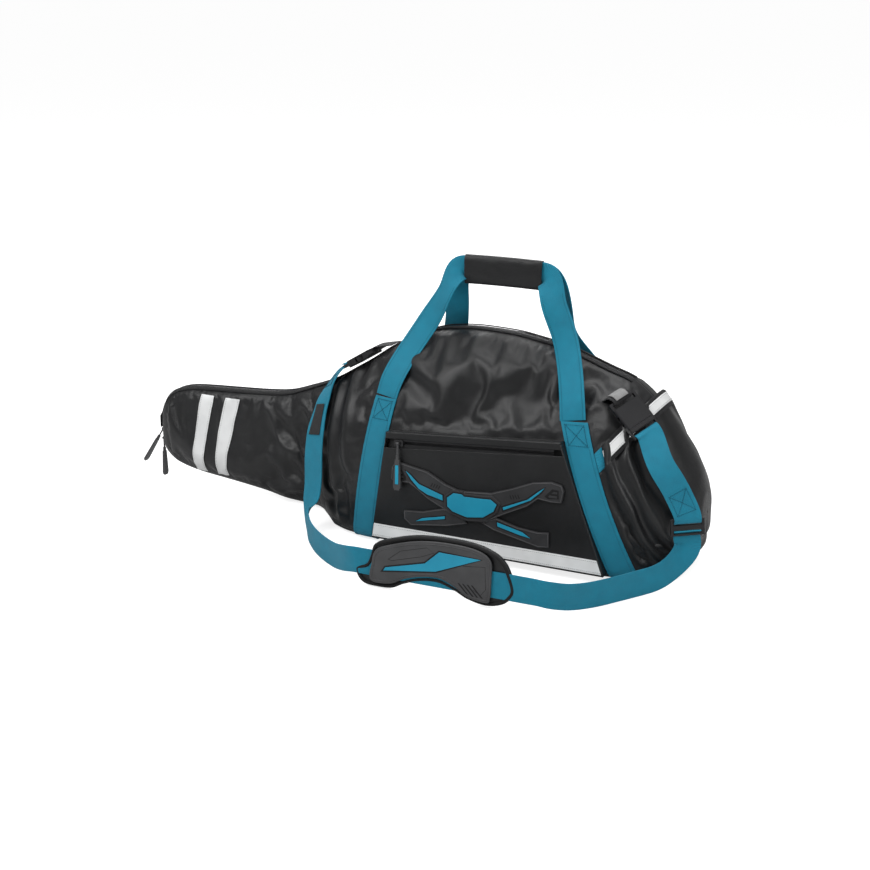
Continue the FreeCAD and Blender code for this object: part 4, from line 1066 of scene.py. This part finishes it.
def end_grid(lift, wobble, seed):
    """Points round the blunt end: tight by the legs' webbing, full beyond, with deep soft folds."""
    p = LOW_G.copy()
    for i in range(p.shape[0]):
        for j in range(p.shape[1]):
            a, b = LOW_G[i, j], HIGH_G[i, j]
            d = a[0] - (leg_x(1, a[2]) + 20)
            f = smooth(0, 42, d)
            q = a * (1 - f) + b * f
            n = (b - a) / max(np.linalg.norm(b - a), 1e-6)
            h = 0.0
            if wobble:
                v = Vector((q[0] * 0.03, q[1] * 0.012, q[2] * 0.009 + seed))
                near = smooth(2, 14, d) * (1 - smooth(60, 105, d)) * smooth(14, 40, q[2])
                h = near * 5.0 * math.sin(d * 0.21 + 0.02 * q[2] + 2.4 * noise.noise(v)) - near * 1.2
                h += wobble * (noise.noise(v * 1.3) + 0.6 * noise.noise(v * 3.1)) * smooth(14, 40,
                                                                q[2]) * smooth(0, 20, d)
            p[i, j] = q + n * (lift + h)
    return p


def cut_planes(ob, planes):
    """Trim a mesh by planes: each keeps the side its normal points to."""
    bm = bmesh.new()
    bm.from_mesh(ob.data)
    for co, no in planes:
        bmesh.ops.bisect_plane(bm, geom=bm.verts[:] + bm.edges[:] + bm.faces[:], plane_co=Vector(co) * MM,
                               plane_no=Vector(no), clear_inner=True)
    bm.to_mesh(ob.data)
    bm.free()
    return ob


HEM_N = (0.773, 0, -0.634)


def hem_plane(off, sign=1):
    return ((186.6 + 0.773 * off, 0, 185.1 - 0.634 * off), tuple(c * sign for c in HEM_N))


LEG_SLOPE = Vector((STITCH_Z, 0, LEG_BOTTOM[1] - LEG_TOP[1])).normalized()
HEM_SET = 16.0
NEAR_PLANE = ((leg_x(1, 0) + WEB_W / 2 + HEM_SET, 0, 0), tuple(LEG_SLOPE))
LEG_PLANE = ((leg_x(1, 0) + WEB_W / 2 + 1.0, 0, 0), tuple(LEG_SLOPE))


def end_piece(name, grid, planes, thick, mat, cad, loose=0.0):
    rows, cols = grid.shape[:2]
    uvs = [(i * 4.0 * MM, j * 4.6 * MM) for i in range(rows) for j in range(cols)]
    ob = mesh_object(name, grid.reshape(-1, 3) * MM, grid_faces(rows, cols), mat, uvs)
    cut_planes(ob, planes)
    if loose:
        bm = bmesh.new()
        bm.from_mesh(ob.data)
        for co, no in (NEAR_PLANE, hem_plane(27)):
            bmesh.ops.bisect_plane(bm, geom=bm.verts[:] + bm.edges[:] + bm.faces[:],
                                   plane_co=Vector(co) * MM, plane_no=Vector(no))
        far = Vector(NEAR_PLANE[0])
        gone = [f for f in bm.faces for c in [f.calc_center_median() * 1000]
                if (c - far).dot(LEG_SLOPE) < 0 and hem_off(c.x, c.z) < 27]
        bmesh.ops.delete(bm, geom=gone, context="FACES")
        bm.to_mesh(ob.data)
        bm.free()
        pins = []
        for v in ob.data.vertices:
            c = v.co * 1000
            edge = min(smooth(0, 22, hem_off(c.x, c.z)), smooth(0, 16, c.x - leg_x(1, c.z) - 20), smooth(14,
                                                                34, c.z))
            pins.append(1 - edge)
        relax(ob, pins, loose, grow=0.03)
    m = ob.modifiers.new("sub", "SUBSURF")
    m.levels = m.render_levels = 1
    thicken(ob, thick * MM, offset=0.0)
    return finish_piece(ob, "bag", *cad)


field = [LEG_PLANE, ((0, 0, 14.2), (0, 0, 1))]
set_off = [NEAR_PLANE, ((0, 0, 14.2), (0, 0, 1))]
pocket_grid = end_grid(0.0, 1.3, 3.0)
end_piece("end_pocket_cloth", pocket_grid, [hem_plane(0.6)] + field, 1.5, M["shell"], ["end_pocket"], 0.005)
end_piece("end_hem_band", end_grid(1.2, 0.0, 0), [hem_plane(0), hem_plane(27, -1)] + set_off, 1.3,
          M["binding"], ["end_hem"])
end_piece("end_tape", end_grid(2.7, 0.0, 0), [hem_plane(6), hem_plane(21, -1)] + set_off, 0.5, M["tape"],
          ["end_stripe"])
end_piece("end_web", grown_point_rows(1.3, 140, 64),
          [hem_plane(1), hem_plane(26, -1), LEG_PLANE, ((0, 0, 100), (0, 0, 1))], 1.5, M["web"],
          ["end_webbing"])


def hem_line(grid, off):
    """A line round the blunt end at one distance from the pocket's mouth."""
    pts = []
    for j in range(grid.shape[1]):
        o = hem_off(grid[:, j, 0], grid[:, j, 2]) - off
        k = np.where((o[:-1] < 0) & (o[1:] >= 0))[0]
        if len(k):
            f = -o[k[0]] / (o[k[0] + 1] - o[k[0]])
            q = grid[k[0], j] * (1 - f) + grid[k[0] + 1, j] * f
            if q[0] > leg_x(1, q[2]) + 22 + HEM_SET:
                pts.append(q)
    return np.array(pts) * MM


hem_grid = end_grid(2.15, 0.0, 0)
tape_grid = end_grid(3.1, 0.0, 0)
repeat("hem_stitches", [hem_line(hem_grid, 3.0), hem_line(hem_grid, 24.0)], M["thread"], "bag", 3.0, 2.2,
       0.6, 0.5)
repeat("hem_tape_stitches", [hem_line(tape_grid, 8.2), hem_line(tape_grid, 18.8)], M["thread"], "bag", 3.0,
       2.2, 0.5, 0.4)


# ---- carrying loops, wrap and flap ---------------------------------------------------------
FOOT = {-1: (87.1 + 3.2, 85.6 + 3.2), 1: (91.7 + 3.2, 89.5 + 3.2)}


def loop_points(s):
    spread = (LEG_TOP[0] + (0 if s < 0 else 22), LEG_TOP[1] - (0 if s < 0 else 24))
    g, lean, rows = GRIP_L / 2, (0, s * 0.86, 0.5), []
    for side, k in ((0, -1), (1, 1)):
        x0, ys = spread[side], s * FOOT[s][side]
        leg = [((x0, ys, STITCH_Z - 3.3), (k * 0.17, s, 0.25)), ((x0 + k * -8, ys - s * 14, STITCH_Z + 32),
                                                                lean),
               ((x0 + k * -40, ys - s * 62, STITCH_Z + 105), lean),
               ((k * (g + 25), s * 19, GRIP_Z - 34), (k * 0.45, s * 0.8, 0.25)),
               ((k * (g + 9), s * 2.6, GRIP_Z - 1.5), (k * 0.1, s, 0.03))]
        rows.append(leg if side == 0 else leg[::-1])
    middle = [((x, s * 2.3, GRIP_Z), (0, s, 0)) for x in (-52, 0, 52)]
    rows = rows[0] + middle + rows[1]
    return [r[0] for r in rows], [r[1] for r in rows]


for s, word in ((-1, "front"), (1, "back")):
    pts, facing = loop_points(s)
    ob, centre = ribbon("loop_%s" % word, pts, facing, width=WEB_W - 1.5, step=3.5, camber=0.0, wave=0.5)
    finish_piece(ob, word + "_loop", "handle_%s_loop" % word)
    rows = []
    for d in (-15.5, 15.5):
        rows.append([(c + w * d + n * 1.25) * MM for c, w, n in centre if c[2] < GRIP_Z - 24])
    lines = []
    for row, _ in ((rows[0], 0), (rows[1], 0)):
        half = [p for p in row if p[0] < 0], [p for p in row if p[0] > 0]
        lines += [h for h in half if len(h) > 1]
    repeat("loop_edge_stitches_" + word, lines, M["web_thread"], word + "_loop", 3.0, 2.2, 0.8, 0.6)


def grip_tube(name, planes, mat, body, cad, lift):
    """Rounded cloth sleeve round the webbing, a little fuller in the middle."""
    rows, cols, verts, uvs = 66, 72, [], []
    half = GRIP_L / 2
    for i in range(rows):
        x = -half + GRIP_L * i / (rows - 1)
        puff = 1 + 0.05 * (1 - (x / half) ** 2) + 0.02 * noise.noise(Vector((x * 0.05, 3, lift)))
        droop = 0.9 * math.cos(x / half * 1.4)
        for j in range(cols):
            a = 2 * math.pi * j / cols
            c, sn = math.cos(a), math.sin(a)
            y = math.copysign(abs(c) ** (2 / 2.8), c) * (GRIP_D / 2 - 1.0) * puff
            z = math.copysign(abs(sn) ** (2 / 3.4), sn) * (GRIP_H / 2 - 1.0) * (0.985 + 0.015 * puff)
            bumpy = 0.5 * noise.noise(Vector((x * 0.06, y * 0.15, z * 0.08)))
            verts.append((x * MM, (y + bumpy * np.sign(y)) * MM, (GRIP_Z + z + droop - 0.9) * MM))
            uvs.append((j * 0.0017, x * MM))
    faces = [(i * cols + j, (i + 1) * cols + j, (i + 1) * cols + (j + 1) % cols, i * cols + (j + 1) % cols)
             for i in range(rows - 1) for j in range(cols)]
    ob = mesh_object(name, verts, faces, mat, uvs)
    bm = bmesh.new()
    bm.from_mesh(ob.data)
    bmesh.ops.recalc_face_normals(bm, faces=bm.faces)
    bm.to_mesh(ob.data)
    bm.free()
    cut_planes(ob, planes)
    thicken(ob, 0.0016, offset=0.0, bevel=0.0003, sub=1)
    return finish_piece(ob, body, *cad)


grip_tube("grip_wrap_cloth", [((0, 1.2, 0), (0, -1, 0))], M["shell"], "front_loop", ["grip_wrap"], 1.0)
grip_tube("grip_flap_cloth", [((0, 1.5, 0), (0, 1, 0))], M["shell"], "flap", ["grip_flap"], 1.0)
rings = []
for x in (-GRIP_L / 2 + 3, -GRIP_L / 2 + 8, GRIP_L / 2 - 8, GRIP_L / 2 - 3):
    ring = []
    for a in np.linspace(math.radians(98), math.radians(262), 40):
        c, sn = math.cos(a), math.sin(a)
        y = math.copysign(abs(c) ** (2 / 2.8), c) * (GRIP_D / 2 + 0.1)
        z = math.copysign(abs(sn) ** (2 / 3.4), sn) * (GRIP_H / 2 - 0.1)
        ring.append((x * MM, y * MM, (GRIP_Z + z - 0.9 + 0.9 * math.cos(x / 64 * 1.4)) * MM))
    rings.append(ring)
repeat("grip_stitches", rings, M["thread"], "front_loop", 2.8, 2.0, 0.55, 0.45)


# ---- shoulder strap ------------------------------------------------------------------------
def frame_of(origin, ax, az):
    x = Vector(ax).normalized()
    z = Vector(az)
    z = (z - x * z.dot(x)).normalized()
    return Vector(origin), x, z.cross(x), z


def over_bar(o, x, z, start, turn):
    s = 1 if turn > start else -1
    pts = [o + x * start - z * 2.2, o + x * (start + s * 0.2) + z * 2.6, o + x * (start + s * 3.4) + z * 4.6,
           o + x * turn + z * 3.8]
    return pts, [x * -s, x * -s + z * 0.2, x * -s * 0.3 + z, z]


o, x, y, z = frame_of((-256.0, 0.0, 258.5), (0.854, 0, 0.52), (-0.52, 0, 0.854))
o2, x2, y2, z2 = frame_of((252.4, -78.8, 239.2), (-0.70, 0.12, 0.70), (0.45, -0.65, 0.60))
run, facing = over_bar(o, x, z, 41.2, 50.0)
ob, _ = ribbon("left_tab_web", run + [o + x * 64 - z * 1.0, o + x * 78 - z * 6.0], facing + [z] * 2,
               width=32, thick=1.6,
               step=2.0, mat=M["black_web"])
finish_piece(ob, "bag", "left_tab")
run, facing = over_bar(o2, x2, z2, 41.2, 49.0)
tail = run + [o2 + x2 * 56 - z2 * 4.0, o2 + x2 * 59 - z2 * 16.0, o2 + x2 * 62 - z2 * 29.0]
facing = facing + [x2 + z2 * 0.8, x2, x2]
ob, _ = ribbon("right_tab_web", tail, facing, width=32, thick=1.6, step=2.0, mat=M["black_web"])
finish_piece(ob, "bag", "right_tab")
ob, _ = ribbon("right_tab_end", tail[2:6], facing[2:6], width=22, thick=1.2, out=2.2, step=2.0,
               mat=M["grey_web"])
finish_piece(ob, "bag", "right_tab_tip")

start, face = over_bar(o, x, z, -12.2, -22.0)
left = start + [(-286, -32, 229), (-290, -60, 195), (-290, -84, 150), (-288, -95, 100), (-287, -103, 58),
                (-284, -122, 30),
                (-268, -150, 21.5), (-238, -188, 20.4), (-205, -218, 20.4), (-172, -244, 22.5), (-140, -271,
                                                                31),
                (-112, PAD_Y, 38), (-92, PAD_Y, 38), (-50, PAD_Y, 38)]
face = face + [(-0.72, -0.5, 0.5), (-0.55, -0.8, 0.25), (-0.35, -0.93, 0.1), (-0.3, -0.95, 0.05), (-0.35,
                                                                -0.93, 0),
               (-0.55, -0.83, -0.05), (-0.72, -0.69, 0), (-0.69, -0.72, 0), (-0.62, -0.78, 0), (-0.62,
                                                                -0.78, 0),
               (-0.5, -0.86, 0), (0, -1, 0), (0, -1, 0), (0, -1, 0)]
c, gx, _, gz = frame_of((331.0, -80.0, 92.0), (-0.08, 0.02, 1.0), (0.5, -0.86, 0.1))
rest = [(80, PAD_Y, 38), (120, PAD_Y, 38), (158, PAD_Y, 38), (178, PAD_Y, 38), (202, -270, 31), (228, -234,
                                                                22),
        (256, -192, 20.4), (286, -146, 21), (310, -112, 28), c - gx * 34 - gz * 7, c - gx * 16 - gz * 6.2,
        c - gx * 7.0 - gz * 2.8, c - gx * 6.3 + gz * 1.6]
rest_face = [(0, -1, 0)] * 4 + [(0.55, -0.83, 0), (0.75, -0.66, 0), (0.83, -0.55, 0), (0.88, -0.45, 0.05),
                                (0.86, -0.5, 0.1),
                                gz, gz, gz - gx * 0.9, gx * -1]
ob, strap_line = ribbon("strap", left + [(0, PAD_Y, 38), (40, PAD_Y, 38)] + rest,
                        face + [(0, -1, 0)] * 2 + rest_face, step=3.5,
                        camber=0.0, wave=0.6)
finish_piece(ob, "bag", "shoulder_strap")
end, end_face = over_bar(o2, x2, z2, -12.2, -22.8)
up = [c + gx * 6.3 - gz * 1.6, c + gx * 7.0 + gz * 2.8, c + gx * 15 + gz * 5.6, (323, -88, 132), (309, -96,
                                                                162),
      (290, -98, 192)] + end[::-1]
up_face = [gx * -1, gz - gx * 0.9, gz, (0.5, -0.85, 0.18), (0.5, -0.82, 0.28), (0.48, -0.76,
                                                                0.42)] + end_face[::-1]
ob, upper_line = ribbon("strap_upper_web", up, up_face, step=3.0, camber=0.0, wave=0.3)
finish_piece(ob, "bag", "strap_upper")
label, _ = ribbon("label_patch", left[5:7], face[5:7], width=26, thick=0.8, out=2.7, mat=M["black_web"],
                  step=3.0, camber=0.0)
finish_piece(label, "bag", "strap_label")


def on_band(line, a, b, across, out=1.15):
    """A stitched line on a band between two places along it."""
    n = max(abs(b - a) * 2, 6)
    pts = []
    for i in range(n + 1):
        t = a + (b - a) * i / n
        k = min(int(t), len(line) - 2)
        f = t - k
        p = [line[k][m] * (1 - f) + line[k + 1][m] * f for m in range(3)]
        d = across[0] + (across[1] - across[0]) * i / n
        pts.append((p[0] + p[1] * d + p[2] * out) * MM)
    return pts


def box_stitch(name, line, a, b, half, body, out=1.15):
    rows = [on_band(line, a, a + 0.001, (-half, half), out), on_band(line, b, b + 0.001, (-half, half), out),
            on_band(line, a, b, (-half, -half), out), on_band(line, a, b, (half, half), out),
            on_band(line, a, b, (-half, half), out), on_band(line, a, b, (half, -half), out)]
    repeat(name, rows, M["web_thread"], body, 2.6, 2.2, 1.2, 0.9)


high = len(upper_line)
box_stitch("strap_upper_box", upper_line, int(high * 0.14), int(high * 0.34), 14, "bag")
box_stitch("strap_left_box", strap_line, 9, 19, 14, "bag")


# ---- shoulder pad --------------------------------------------------------------------------
def ring(points, each=8):
    """Smooth closed outline through points given from the pad's middle."""
    out, n = [], len(points)
    for i in range(n):
        p0, p1, p2, p3 = (np.array(points[(i + k) % n], float) for k in (-1, 0, 1, 2))
        for j in range(each):
            t = j / each
            q = 0.5 * (2 * p1 + (p2 - p0) * t + (2 * p0 - 5 * p1 + 4 * p2 - p3) * t * t
                       + (3 * p1 - p0 - 3 * p2 + p3) * t**3)
            out.append((PAD_X + q[0], q[1]))
    return out


PAD_OUTER = ring([(-140, 28), (-138, 14), (-128, 4), (-112, 1.5), (-83, 3), (-62, 13), (-36, 22), (-6, 25),
                  (20, 17), (40, 8),
                  (69, 3), (94, 9), (109, 22), (113, 36), (105, 60), (97, 73), (83, 84), (54, 93), (14, 95),
                  (-36, 92),
                  (-77, 82), (-108, 69), (-116, 50), (-123, 36)])
PAD_INNER = ring([(-113, 36), (-116, 16), (-106, 9.5), (-80, 12.5), (-59, 23), (-33, 31), (-3, 34), (22,
                                                                25), (42, 13), (70, 9),
                  (77, 16), (79, 46), (78, 74), (56, 87), (12, 90), (-33, 86), (-74, 75), (-105, 61)])


def pad_at(x, z, out):
    return (x * MM, (PAD_Y - out) * MM, z * MM)


base_pad = slab("pad_cushion", scaled(PAD_OUTER, -0.4), -9.4, -1.6, M["shell"], ["pad_base"], body="pad",
                bevel=3.2, plane=pad_at)
slab("pad_rubber", PAD_INNER, 1.2, 5.2, M["rubber"], ["pad_shell"], body="pad", bevel=1.6, plane=pad_at)


def on_pad(px, pz, out):
    return Vector((px * MM, (PAD_Y - 5.2 - out) * MM, pz * MM))


def pad_slab(name, outline, low, high, mat, cad=(), bevel=0.4):
    return slab(name, outline, low, high, mat, list(cad), body="pad", bevel=bevel, plane=on_pad)


ARROW = [(PAD_X + a, b) for a, b in [(-93, 31), (-89, 37), (-25, 54), (-2, 75), (64, 74), (-7, 44)]]
# the outline round the arrow is near-black painted shade of a groove
pad_slab("pad_groove", scaled(ARROW, 2.0), -1.0, 0.2, M["groove"], bevel=0.15)
pad_slab("pad_arrow", scaled(ARROW, -0.3), -0.6, 1.0, M["blue"], ["pad_inlay"], bevel=0.5)


def tube(name, line, radius, mat, body):
    """A round bead along a line of points in metres."""
    pts = [Vector(p) for p in line]
    verts, n = [], 8
    for i, p in enumerate(pts):
        t = (pts[min(i + 1, len(pts) - 1)] - pts[max(i - 1, 0)]).normalized()
        a = Vector((0, 1, 0))
        b = t.cross(a).normalized()
        for k in range(n):
            q = 2 * math.pi * k / n
            verts.append(p + (a * math.cos(q) + b * math.sin(q)) * radius * MM)
    faces = [(i * n + k, i * n + (k + 1) % n, (i + 1) * n + (k + 1) % n, (i + 1) * n + k)
             for i in range(len(pts) - 1) for k in range(n)]
    faces += [tuple(range(n))[::-1], tuple(len(verts) - n + k for k in range(n))]
    ob = mesh_object(name, verts, faces, mat)
    bm = bmesh.new()
    bm.from_mesh(ob.data)
    bmesh.ops.recalc_face_normals(bm, faces=bm.faces)
    bm.to_mesh(ob.data)
    bm.free()
    return finish_piece(ob, body)


rim = scaled(PAD_INNER, -4.2)
tube("pad_rim", [on_pad(a, b, -0.2) for a, b in rim + rim[:1]], 0.9, M["rubber"], "pad")
# the panel lines are near-black painted shade of grooves
panel = [(-84, 50), (-64, 66), (-22, 78), (-10, 72), (-30, 63), (-78, 49)]
tube("pad_line_left", [on_pad(PAD_X + a, b, -0.3) for a, b in panel + panel[:1]], 0.5, M["groove"], "pad")
panel = [(36, 60), (70, 64), (71, 30), (63, 20), (52, 26)]
tube("pad_line_right", [on_pad(PAD_X + a, b, -0.3) for a, b in panel], 0.5, M["groove"], "pad")
# the vents are near-black slabs of painted shade, not holes
for i in range(4):
    px = PAD_X + 27 + i * 7
    pad_slab("pad_vent_%d" % i, [(px, 33), (px + 3, 33), (px + 19, 16), (px + 16, 16)], -0.8, 0.15,
             M["groove"], bevel=0.1)
edge = scaled(PAD_OUTER, -3.2)
edge = [(a * MM, (PAD_Y + 1.0) * MM, b * MM) for a, b in edge + edge[:1]]
tube("pad_binding", edge, 2.9, M["binding"], "pad")
repeat("pad_binding_ribs", [edge], M["binding"], "pad", 2.4, 1.6, 6.5, 6.5)


# raised edge round the badge's arms and feet, in the lighter grey rubber as a painted highlight line
for name, shape, rise in (("upper", UP, 4.9), ("left", LOW_L, 3.3), ("right", LOW_R, 3.3)):
    line = scaled(shape, -1.6)
    tube("badge_edge_highlight_" + name, [(x * MM, panel_y(z, rise) * MM, z * MM) for x, z in line + line[:1]], 0.75,
         M["rubber"], "bag")


# ---- hard pieces keep their own form and take better materials ------------------------------
HARD = {"plastic": ["left_socket", "left_plug", "left_prong_a", "left_prong_b", "right_socket",
                    "right_plug", "right_prong_a",
                    "right_prong_b", "tri_glide"],
        "metal": ["main_slider_upper", "main_slider_lower", "pocket_slider"],
        "rubber": ["main_pull_upper", "main_pull_lower", "pocket_pull"],
        "blue": ["main_pull_inlay_upper", "main_pull_inlay_lower", "pocket_pull_inlay"]}
for key, names in HARD.items():
    for name in names:
        for s in nodes[name].material_slots:
            s.material = M[key]


# ---- floor, light and camera ---------------------------------------------------------------
floor = mesh_object("floor", [(-40, -40, -0.0006), (40, -40, -0.0006), (40, 40, -0.0006), (-40, 40,
                                                                -0.0006)], [(0, 1, 2, 3)],
                    material("pale_floor", "", 0.9, lambda tree, bsdf: None), shade=False)
tree = floor.data.materials[0].node_tree
bsdf = tree.nodes["Principled BSDF"]
bsdf.inputs["Base Color"].default_value = (0.60, 0.60, 0.60, 1)
bsdf.inputs["Emission Color"].default_value = (1, 1, 1, 1)
bsdf.inputs["Specular IOR Level"].default_value = 0.0
seen = tree.nodes.new("ShaderNodeLightPath")
glow = tree.nodes.new("ShaderNodeMath")
glow.operation, glow.inputs[1].default_value = "MULTIPLY", 0.80
tree.links.new(seen.outputs["Is Camera Ray"], glow.inputs[0])
tree.links.new(glow.outputs[0], bsdf.inputs["Emission Strength"])


def area_light(name, place, target, size, power):
    data = bpy.data.lights.new(name, "AREA")
    data.shape, data.size, data.size_y, data.energy = "RECTANGLE", size[0], size[1], power
    ob = bpy.data.objects.new(name, data)
    bpy.context.scene.collection.objects.link(ob)
    ob.location = place
    ob.rotation_euler = (Vector(target) - Vector(place)).to_track_quat("-Z", "Y").to_euler()
    return ob


area_light("key", (-1.5, -2.2, 2.6), (-0.1, 0, 0.15), (1.8, 1.4), 62)
area_light("side", (2.4, -1.2, 1.5), (0.0, 0, 0.2), (1.2, 1.6), 26)
area_light("top", (0.0, 0.6, 2.7), (-0.1, 0, 0.2), (2.4, 1.6), 38)
area_light("rear", (-1.2, 2.2, 1.6), (-0.1, 0, 0.25), (1.8, 1.0), 22)

world = bpy.data.worlds.new("world")
bpy.context.scene.world = world
world.use_nodes = True
tree = world.node_tree
back = tree.nodes["Background"]
back.inputs[0].default_value, back.inputs[1].default_value = (1, 1, 1, 1), 0.30
plain = tree.nodes.new("ShaderNodeBackground")
plain.inputs[0].default_value, plain.inputs[1].default_value = (1, 1, 1, 1), 1.0
path = tree.nodes.new("ShaderNodeLightPath")
top1 = tree.nodes.new("ShaderNodeMath")
top1.operation = "MAXIMUM"
mix = tree.nodes.new("ShaderNodeMixShader")
tree.links.new(path.outputs["Is Camera Ray"], top1.inputs[0])
tree.links.new(path.outputs["Is Transmission Ray"], top1.inputs[1])
tree.links.new(top1.outputs[0], mix.inputs[0])
tree.links.new(back.outputs[0], mix.inputs[1])
tree.links.new(plain.outputs[0], mix.inputs[2])
tree.links.new(mix.outputs[0], tree.nodes["World Output"].inputs["Surface"])

cam = bpy.data.cameras.new("camera")
cam.lens, cam.sensor_width = 67.24, 36
eye = bpy.data.objects.new("camera", cam)
bpy.context.scene.collection.objects.link(eye)
bpy.context.scene.camera = eye
target = Vector((-0.117, 0, 0.150))
az, el = math.radians(26), math.radians(17)
eye.location = target + 2.606 * Vector((math.sin(az) * math.cos(el), -math.cos(az) * math.cos(el),
                                        math.sin(el)))
eye.rotation_euler = (target - eye.location).to_track_quat("-Z", "Y").to_euler()
bpy.context.scene.view_settings.view_transform = "Standard"
